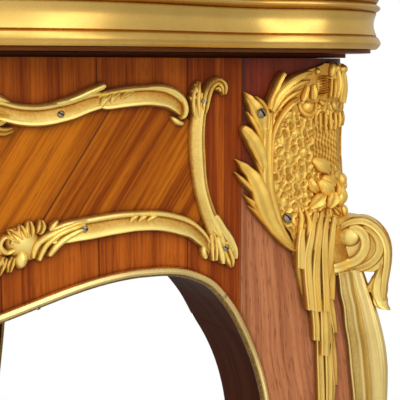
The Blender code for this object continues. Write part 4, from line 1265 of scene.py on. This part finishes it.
cornerMount = {
    # the ground between the leaves and the ridge: depth, near edge and far edge
    "ground": [
        (3, 2, 20), (8, 0, 33), (15, 0, 46), (24, 0, 54), (31, 1, 57), (36, 5, 58), (48, 6, 59),
        (58, 5, 59), (65, 0, 58.5), (75, 0, 56.5), (86, 0, 53), (95, 0, 49), (104, 2, 44.5), (112, 12, 40),
    ],
    "groundThick": 2.0, "groundRows": 180, "groundColumns": 112,
    "leaves": [
        # smooth band beside the rib, and the rib
        ([(44, 112.5), (47.5, 107), (52.5, 97.4), (55.9, 86.3), (58.7, 75.4), (59.6, 63.3), (59.8, 52.3),
          (59.3, 42), (58.6, 30)],
         [2.0, 3.2, 4.4, 4.6, 4.6, 4.4, 4.2, 3.8, 2.6], 3.7, "blade"),
        ([(50.5, 90), (52, 87), (53.6, 81.1), (55.8, 73.8), (56.7, 63.5), (56.8, 52.3), (56.2, 44.7),
          (53.8, 37.8), (49.9, 32.1), (44.6, 27), (37.9, 22.8)],
         [0.5, 0.6, 0.7, 0.8, 0.9, 1.1, 1.3, 1.9, 2.3, 2.5, 1.5], 6.4),
        # leaves that bend to the right at the top
        ([(54.5, 33), (49.6, 26.5), (43, 21.6), (34, 17.6)], [1.0, 2.0, 2.2, 1.2], 3.6),
        ([(56, 32), (51.5, 24), (45, 18.4), (37, 14.6), (29, 12.6)], [1.2, 2.4, 2.6, 2.2, 1.2], 4.4),
        ([(57.7, 31), (54.3, 21.9), (48, 15.9), (40.5, 11.6), (34, 9.3), (27.6, 8)],
         [1.8, 2.8, 3.2, 3.0, 2.3, 1.0], 5.5, "blade"),
        ([(59.5, 30), (58.4, 24), (56.5, 20.2), (52.3, 12.4), (48.2, 7.6)], [1.6, 2.0, 2.2, 2.2, 1.9], 5.2,
         "blade"),
        # broad leaves that point to the left, from the lowest up
        ([(42, 114.4), (50, 108.6), (57.4, 100.4), (64, 92.6)], [1.2, 1.8, 1.6, 0.8], 4.0),
        ([(45.6, 112.6), (55.2, 101.2), (63.6, 91.4), (72.9, 83.8)], [1.6, 2.8, 2.6, 0.5], 4.5, "blade"),
        ([(48.3, 110.1), (56.8, 97.5), (64.4, 87.5), (70, 82.4), (75.9, 77)], [1.6, 3.6, 3.4, 2.2, 0.4],
         4.9, "blade"),
        ([(58.5, 89), (62.5, 83), (67.9, 76.5), (74.8, 70.4), (82, 63.6)], [1.4, 2.0, 2.2, 1.8, 0.5], 4.6),
        ([(43.1, 113.3), (50.6, 105.3), (56.7, 96.6), (60.7, 87.7), (64.8, 76.7), (70.1, 67.1), (76, 61),
          (81.4, 56.4)],
         [1.2, 2.8, 4.6, 5.6, 6.2, 5.2, 3.2, 0.4], 5.6, "blade"),
        ([(62.4, 70), (64.8, 62), (68.6, 54.6), (72.5, 49.5)], [1.4, 2.0, 1.6, 0.6], 3.6),
        ([(61.6, 66), (63.4, 59.8), (66.1, 52.7), (70.8, 45.5), (74.7, 41), (77.6, 38.4)],
         [2.0, 3.4, 4.6, 4.8, 3.8, 2.4], 5.6, "blade"),
        ([(62.8, 48), (64.6, 44.8), (68.3, 37.8), (74, 29.6)], [1.4, 2.0, 2.0, 0.6], 4.4),
        ([(59.6, 42), (59.4, 36), (59.9, 32), (63.2, 25.7), (68.4, 21.2)], [1.4, 1.8, 1.9, 1.8, 0.7], 4.6),
        ([(62.2, 46), (62.9, 42), (64.7, 34.4), (68.9, 27.3), (72.6, 22.4), (75.6, 18.6)],
         [1.8, 3.4, 5.0, 4.6, 3.0, 0.4], 5.2, "blade"),
    ],
    # hanging folds at the top, beside the ridge
    "folds": [
        ([(34, 15), (33, 17.2), (35.2, 22.4), (37, 25.2)], [1.0, 1.8, 2.0, 1.2], 5.2, "blade"),
        ([(28.2, 14.6), (27.9, 19), (28, 25)], [1.6, 2.6, 2.0], 4.6, "blade"),
        ([(38.8, 25), (36.8, 30), (31.4, 33), (26.6, 30), (26, 25)], [1.0, 1.6, 2.0, 1.6, 0.9], 5.4),
        ([(16.2, 11), (16.4, 17), (16.1, 24)], [0.7, 1.0, 0.7], 5.6),
        ([(13.2, 11), (13.4, 17), (13.5, 24)], [0.7, 1.0, 0.7], 5.8),
        ([(14.6, 1.6), (14.1, 5.7), (14.8, 12)], [1.8, 3.0, 2.2], 5.0),
        ([(24.2, 10), (25.1, 7), (26, 5)], [1.4, 2.2, 1.0], 4.8),
        ([(10, 6), (9.6, 12), (10.2, 24)], [1.4, 2.2, 1.4], 4.8, "blade"),
        ([(5, 7), (4.6, 16), (6, 27)], [1.6, 2.8, 1.6], 4.9, "blade"),
        ([(0.9, 9), (0.8, 18), (1.6, 28)], [1.6, 2.2, 1.4], 5.0),
        ([(24, 24.2), (21.3, 26.4), (18.6, 25)], [1.2, 2.0, 1.2], 5.4),
        ([(14, 25), (12.6, 29), (9.6, 30)], [1.0, 1.7, 1.2], 4.8),
        ([(26, 33), (25.8, 41)], [1.2, 1.0], 3.8),
        ([(22.8, 31), (22.6, 38.3), (22.1, 44)], [1.0, 1.3, 1.0], 4.0),
        ([(18.9, 31), (18.9, 39.7), (18.2, 44.8)], [1.0, 1.2, 1.0], 4.2),
        ([(15.6, 30), (15.4, 38), (14.8, 43)], [1.0, 1.2, 1.0], 4.2),
        ([(11.6, 31), (11.2, 38), (11.4, 43)], [1.0, 1.3, 1.0], 4.2),
        ([(7.4, 31), (7, 37), (7.4, 42)], [1.0, 1.4, 1.0], 4.2),
    ],
    # fine ribs across the middle fold
    "foldRibs": {"first": 10.6, "pitch": 1.46, "count": 8, "line": [(24.8, 0.4), (21.6, 0), (18.4, -0.6)],
                 "widths": [0.5, 0.75, 0.5], "height": 7.6},
    "foldEnds": [
        ((31.4, 28.4), (5.0, 4.4), 4.4), ((21.7, 16), (4.4, 7), 4.2), ((9, 16), (9, 11), 3.8),
        ((10.4, 5.6), (2.6, 3.2), 4.8),
        ((3.4, 6.4), (3.0, 3.4), 4.8),
    ],
    # openwork cells of the field, and finer ribs beside the ridge
    "cellPitch": (6.0, 5.2), "cellStart": (1.0, 28.0), "cellRadius": 3.2, "cellRise": 1.15,
    "cellFirst": 24.0, "cellEnd": 104.0, "cellFade": 4.0, "cellStray": 1.2, "cellUneven": 0.3,
    "cellWarp": 0.5,
    # share of the cell's radius, and height
    "curl": [(0.0, 0.1), (0.2, -0.3), (0.38, -0.4), (0.74, 1.0), (1.08, 0.0)],
    # painted shade: the cells' hollows are darker than their rims
    "groundShade": 2.0,
    "hatch": {"across": 27.0, "from": 34.0, "to": 66.0, "pitch": 2.3, "rise": 0.4},
    # bud, flower and the leaves round them
    "flower": [((5, 84.4), (4.2, 6.2), 6.4, 0), ((2.4, 74), (3.2, 5.0), 5.6, 0)],
    "flowerLeaves": [
        ([(28.4, 58.8), (21.3, 63.1), (14.6, 68.4)], [2.4, 4.6, 2.0], 6.0, "blade"),
        ([(22.4, 80), (27.3, 75.6), (30, 70)], [1.8, 3.4, 1.8], 5.0, "blade"),
        ([(21.4, 69.6), (16.7, 72.4), (10, 76)], [2.0, 3.4, 1.8], 6.6, "blade"),
        ([(24, 71.6), (18, 77.4), (13, 82.6)], [2.6, 4.6, 2.0], 7.4, "blade"),
        ([(17.6, 79.4), (24, 84.2), (30.4, 89)], [2.0, 4.4, 1.6], 6.4, "blade"),
        ([(11.6, 78.6), (14, 84.6), (16.6, 90)], [2.0, 4.2, 1.8], 6.8, "blade"),
        ([(9.6, 73), (8, 78), (9.6, 83)], [1.2, 2.2, 1.4], 7.0, "leaf"),
        ([(12, 89), (9.5, 92.3), (6.5, 95.4)], [1.2, 2.4, 1.0], 5.8, "leaf"),
        ([(16, 89), (17, 93), (16.6, 97)], [1.2, 2.2, 0.9], 5.2, "leaf"),
        ([(2, 89), (2, 93), (2.4, 97)], [1.8, 2.6, 1.2], 5.6),
    ],
    # fringe that hangs from the field
    "fringe": [
        ([(37.6, 86), (36.4, 94), (39, 103), (41.4, 106.6)], [1.2, 2.2, 2.2, 1.4], 4.8),
        ([(33, 88), (31.4, 97), (34.4, 106)], [1.0, 2.2, 1.4], 5.4),
    ],
    "screws": [((65.5, 31), 3.0, 5.0, 35), ((46.4, 92.8), 3.0, 3.4, 40)],
}


def groundEdges(depth):
    near = wave([(row[0], row[1]) for row in cornerMount["ground"]], depth)
    far = wave([(row[0], row[2]) for row in cornerMount["ground"]], depth)
    return near, far


@functools.lru_cache
def cellAt(i, j):  # an unevenly placed cell: its middle, kind, size and turn
    pitch = cornerMount["cellPitch"]
    stray = Vector((math.sin(2.3 * i + 4.7 * j), math.sin(3.7 * i + 2.9 * j))) * cornerMount["cellStray"]
    middle = Vector(cornerMount["cellStart"]) + Vector((pitch[0] * (j + 0.5 * (i % 2)), pitch[1] * i)) + stray
    size = 1 + cornerMount["cellUneven"] * math.sin(5.1 * i + 3.3 * j)
    return middle, (i + 2 * j) % 5, size, 2.4 * i + 3.9 * j


def cellHeight(spot):  # curls, each open to one side, and small flowers among them
    hatch = cornerMount["hatch"]
    if spot.x < hatch["across"] and hatch["from"] < spot.y < hatch["to"]:
        turn = 2 * math.pi * spot.x / hatch["pitch"] + 1.1 * math.sin(0.6 * spot.y)
        return hatch["rise"] * (math.sin(turn) + 0.5 * math.sin(1.9 * spot.y + spot.x))
    bend = Vector((math.sin(0.9 * spot.y + 0.5 * spot.x), math.sin(0.8 * spot.x - 0.6 * spot.y)))
    spot = spot + bend * cornerMount["cellWarp"]
    row = math.floor((spot.y - cornerMount["cellStart"][1]) / cornerMount["cellPitch"][1])
    column = math.floor((spot.x - cornerMount["cellStart"][0]) / cornerMount["cellPitch"][0])
    near = [cellAt(i, j) for i in range(row - 1, row + 3) for j in range(column - 2, column + 3)]
    centre, kind, size, turn = min(near, key=lambda cell: (cell[0] - spot).length_squared / cell[2])
    off = spot - centre
    share = off.length / (cornerMount["cellRadius"] * size)
    angle = math.atan2(off.y, off.x) - turn
    if kind == 0:
        petals = 0.8 + 0.2 * math.cos(5 * angle) * min(1.0, 2 * share)
        return cornerMount["cellRise"] * max(0.0, 1.0 - share * share) ** 0.5 * petals
    curl = wave(cornerMount["curl"], share)
    return cornerMount["cellRise"] * curl * (0.74 + 0.26 * math.cos(angle))


def makeGround(mesh, surface):
    depths = spaced(cornerMount["ground"][0][0], cornerMount["ground"][-1][0], cornerMount["groundRows"])
    rings = []
    shades = []
    for depth in depths:
        near, far = groundEdges(depth)
        face = spaced(near, far, cornerMount["groundColumns"])
        outs = []
        for a in face:
            inside = min(a - near, far - a, depth - cornerMount["cellFirst"], cornerMount["cellEnd"] - depth)
            inside /= cornerMount["cellFade"]
            rise = cellHeight(Vector((a, depth))) if inside > 0 else 0.0
            outs.append(cornerMount["groundThick"] + rise * min(inside, 1.0))
        rings.append([surface(Vector((a, depth)), out) for a, out in zip(face, outs)])
        rings[-1] += [surface(Vector((a, depth)), carving["base"]) for a in (face[-1], face[0])]
        above = [out - cornerMount["groundThick"] for out in outs]
        shades.append([cornerMount["groundShade"] * (1 + height) for height in above] + [0.0, 0.0])
    loft(mesh, rings, True, shades)


def makeCornerMounts():
    mesh = carvedMesh()
    bolts = carvedMesh()
    for flip in (1, -1):
        surface = cornerSurface(flip)
        makeGround(mesh, surface)
        for rows in ("leaves", "folds", "flowerLeaves", "fringe"):
            strokes(mesh, surface, cornerMount[rows])
        ribs = cornerMount["foldRibs"]
        for i in range(ribs["count"]):
            depth = ribs["first"] + ribs["pitch"] * i
            line = [(across, depth + down) for across, down in ribs["line"]]
            stroke(mesh, surface, line, ribs["widths"], ribs["height"])
        for boss in cornerMount["foldEnds"] + cornerMount["flower"]:
            pearl(mesh, surface, *boss)
        for bolt in cornerMount["screws"]:
            screw(bolts, surface, *bolt)
    eachCorner(mesh, "corner_mount", chuteGilt, "corner_chute_%s", carving["sharp"])
    eachCorner(bolts, "corner_mount_screws", screwSteel, None, carving["screwSharp"])


# Strands of cast drapery that hang below the corner mounts, in three tiers

drapery = {
    "narrow": 0.95,
    "sheet": [
        ([(37, 96), (40, 112), (42, 132), (44, 148)], [3.0, 5.0, 4.6, 3.0], 2.2, "blade"),
        ([(24, 92), (28, 106), (33, 126), (37.6, 148)], [4.0, 8.0, 7.0, 5.0], 2.4, "blade"),
        ([(36, 140), (40, 160), (42.4, 176)], [4.0, 4.6, 3.0], 2.2, "blade"),
        ([(41, 165), (43.6, 190), (44.4, 210), (44.2, 228)], [3.0, 4.4, 4.2, 2.8], 2.0, "blade"),
    ],
    "strands": [
        ([(42.4, 162), (45.6, 184), (46.4, 204), (46, 235)], [2.0, 2.6, 2.7, 2.0], 3.6),
        ([(38.6, 168), (40.8, 190), (41.6, 208), (42, 226)], [2.0, 2.7, 2.5, 1.9], 4.2),
        ([(33.4, 162), (36, 180), (36.6, 197)], [1.4, 2.1, 1.6], 3.4),
        ([(36.4, 184), (38.4, 198), (39.4, 214)], [1.2, 1.9, 1.4], 3.2),
        ([(40.4, 140), (43.3, 156), (45.8, 168.4)], [2.0, 2.5, 2.4], 4.6),
        ([(35, 143), (39.2, 161), (42.4, 178)], [2.2, 2.9, 2.7], 5.4),
        ([(31, 142), (35, 155), (37.6, 171)], [1.6, 2.2, 2.0], 4.8),
        ([(27.8, 138), (30.8, 151), (32.2, 165)], [1.4, 2.2, 1.6], 4.4),
        ([(20, 118), (24.6, 131), (29.2, 144.4)], [1.0, 2.0, 1.8], 5.4),
        ([(37, 99), (40.2, 108), (44.4, 124.4)], [2.0, 3.1, 3.0], 6.0),
        ([(25, 90), (32.4, 105), (39.4, 121.5), (45.2, 149.6)], [1.2, 2.6, 3.1, 3.0], 6.4),
        ([(21, 90), (28, 106.5), (35.8, 128), (41.2, 150.6)], [1.2, 2.5, 2.8, 2.6], 7.2),
        ([(17, 92), (23.6, 107.5), (30.8, 134), (35.4, 151)], [1.2, 2.4, 2.6, 2.4], 6.6),
        ([(12.4, 94), (19.4, 110.5), (27.8, 132.6)], [1.2, 2.2, 1.9], 6.2),
    ],
}


def makeDrapery():
    for flip, face in ((1, "front"), (-1, "side")):
        mesh = carvedMesh()
        surface = cornerSurface(flip)
        strokes(mesh, surface, drapery["sheet"])
        for points, widths, height in drapery["strands"]:
            stroke(mesh, surface, points, [width * drapery["narrow"] for width in widths], height, "strand")
        eachCorner(mesh, "corner_drapery_" + face, draperyGilt, "pendant_%s_" + face,
                   carving["sharp"])


# Volutes that stand out along the corners' diagonals: (reach from the post's square corner, depth)

volute = {
    "half": 5.0,  # of the plain core, in mm
    "flare": 7.0,  # the core widens this much to the leg
    "core": [
        (95.6, 4, 10), (98, -1, 14), (102, -4, 18), (107, -4, 21), (114, -4, 22.6), (121, -4, 22.8),
        (126, -4, 21), (129.6, -4, 16),
    ],
    "coreShade": 3.0, "root": 9.0, "edge": (1.6, 2.0), "sink": 0.4,
    "bands": [
        ([(-9, 106), (-3, 100.4), (6.2, 98), (13.8, 100.8), (19.6, 107), (22.3, 115), (22.5, 124),
          (21.6, 132), (21, 140), (21.4, 148)],
         [1.4, 2.2, 2.5, 2.4, 2.3, 2.3, 2.4, 2.4, 2.0, 1.0], 3.4, "blade"),
        ([(-8, 129.4), (0, 128.8), (8, 126.8), (14.8, 122), (18, 115.6), (17, 108.6), (12, 103.4),
          (4, 101.6)],
         [1.2, 2.2, 2.8, 3.0, 3.0, 3.0, 2.6, 1.2], 2.8, "blade"),
        ([(-8, 127.6), (-1, 126.8), (6.6, 124), (12, 119), (14.2, 112.6), (12.6, 107), (8, 103.4)],
         [1.0, 1.8, 2.4, 2.6, 2.6, 2.3, 1.0], 2.0, "blade"),
        ([(-12, 126.4), (-4, 125.6), (3.4, 123), (8.2, 117.6), (9.4, 111.2), (7.6, 105.8), (3.4, 103.2),
          (-1.4, 104.4)],
         [3.0, 3.4, 3.6, 3.6, 3.5, 3.4, 3.4, 3.4], 3.8, "blade"),
    ],
    "eye": ((-0.6, 108.2), (7.0, 6.4), 4.4),
    "seat": [([(12, 101), (11, 112), (9, 128)], [8.0, 10.0, 9.0], 1.3, "blade")],
    "tail": [
        ([(21.6, 118), (20.4, 128), (18.4, 136), (18.4, 144), (20.8, 150.4), (25.2, 154)],
         [1.8, 3.6, 4.8, 5.2, 3.8, 0.5], 6.4, "blade"),
        ([(18.6, 130), (15.6, 136.8), (12.6, 140.8), (8.6, 142.6)], [1.4, 3.6, 3.2, 0.4], 5.4, "blade"),
        ([(19.2, 139), (16.8, 146), (18.2, 151), (20.4, 153.4)], [1.2, 3.0, 2.8, 0.8], 5.0, "blade"),
    ],
}


def makeVolutes():
    mesh = carvedMesh()
    core = diagonalSurface(1, 0.0)
    half = volute["half"]
    wide = half + volute["flare"]
    edgeIn, edgeUp = volute["edge"]
    rings = []
    for depth, near, far in volute["core"]:
        left = [(near - volute["root"], -wide), (near, -half), (far - edgeIn, -half), (far, edgeUp - half)]
        section = left + [(reach, -out) for reach, out in reversed(left)]
        rings.append([core(Vector((reach, depth)), out) for reach, out in section])
    loft(mesh, rings, True, [[volute["coreShade"]] * len(section)] * len(rings))
    for flip in (1, -1):
        face = diagonalSurface(flip, half - volute["sink"])
        strokes(mesh, face, volute["bands"])
        pearl(mesh, face, *volute["eye"])
        strokes(mesh, cornerSurface(flip), volute["seat"])
        strokes(mesh, diagonalSurface(flip, 0.0), volute["tail"])
    eachCorner(mesh, "corner_volute", mountGilt, "corner_scroll_%s", carving["sharp"])


# Fluted mounts down the knees

fluted = {
    "top": 128.5, "bottom": 262.0, "rows": 60, "columns": 121,
    "width": [(128, 18.6), (145, 21.4), (164, 24.3), (188, 25.6), (210, 24.2), (226, 23), (244, 17), (256, 9),
              (262, 2.5)],
    # share of the half width, and height in mm
    "section": [
        (0.0, 5.6), (0.06, 4.4), (0.12, 5.6), (0.18, 4.4), (0.24, 5.8), (0.28, 4.4), (0.33, 6.2),
        (0.38, 3.6), (0.46, 2.2), (0.54, 2.6), (0.585, 4.4), (0.61, 6.4), (0.635, 5.0), (0.66, 6.4),
        (0.70, 3.4), (0.78, 1.4), (0.88, 1.0), (0.94, 1.6), (0.97, 3.2), (1.0, 2.8),
    ],
    "screw": ((14.5, 222), 2.4, 3.6, 20),
}


def makeFluted():
    mesh = carvedMesh()
    bolts = carvedMesh()
    surfaces = (cornerSurface(1), cornerSurface(-1))
    rings = []
    shades = []
    for depth in spaced(fluted["top"], fluted["bottom"], fluted["rows"]):
        width = wave(fluted["width"], depth)
        shares = spaced(1.0, -1.0, fluted["columns"])
        outs = [wave(fluted["section"], abs(share)) for share in shares]
        outs += [carving["base"]] * len(shares)
        ring = []
        for share, out in zip(shares + shares[::-1], outs):
            ring.append(surfaces[share < 0](Vector((abs(share) * width, depth)), out))
        rings.append(ring)
        shades.append(outs)
    loft(mesh, rings, True, shades)
    for surface in surfaces:
        screw(bolts, surface, *fluted["screw"])
    eachCorner(mesh, "knee_mount", paleGilt, "leg_mount_%s", carving["sharp"])
    eachCorner(bolts, "knee_mount_screws", screwSteel, None, carving["screwSharp"])


# Leaves on the sabots: (distance from the ridge, height above the floor), half widths, height and section

sabot = {
    "leaves": [
        ([(0, 5), (15, 5), (30, 5), (44, 5)], [2.6, 2.6, 2.6, 2.6], 5.6, "round"),
        ([(0, 80), (11, 80), (22, 80), (30, 80)], [2.0, 2.0, 2.0, 1.6], 5.2, "round"),
        ([(32, 12), (31, 34), (27, 60), (21, 88)], [4.8, 6.4, 5.2, 0.6], 6.2, "leaf"),
        ([(20, 10), (19, 38), (16.6, 70), (12, 102)], [5.0, 6.4, 5.4, 0.6], 7.0, "leaf"),
        ([(10, 10), (9.6, 40), (9, 74), (5, 112)], [4.4, 5.6, 4.8, 0.6], 7.6, "blade"),
        ([(1.4, 12), (1.6, 44), (1.8, 84), (0.8, 124)], [4.0, 5.4, 4.6, 0.5], 8.6, "leaf"),
    ],
    "toe": ((0, 12), (9, 7), 8.0),
}


def makeSabotLeaves():
    mesh = carvedMesh()
    floorDepth = friezeTop / mm
    for flip in (1, -1):
        surface = cornerSurface(flip)
        for points, *shape in sabot["leaves"]:
            stroke(mesh, surface, [(across, floorDepth - height) for across, height in points], *shape)
    (across, height), radii, rise = sabot["toe"]
    pearl(mesh, surface, (across, floorDepth - height), radii, rise)
    eachCorner(mesh, "sabot_leaves", mountGilt, None, carving["sharp"])


makeCornerMounts()
makeDrapery()
makeVolutes()
makeFluted()
makeSabotLeaves()
print("corner mounts are carved")

bareNodes = {"sabot": footGilt, "top_bearer": bearerWood, "corner_block": carcaseWood,
             "glue_block": carcaseWood, "middle_rail": carcaseWood}
for nodeName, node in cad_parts.items():
    for start, finish in bareNodes.items():
        if nodeName.startswith(start):
            node.data.materials.clear()
            node.data.materials.append(finish)
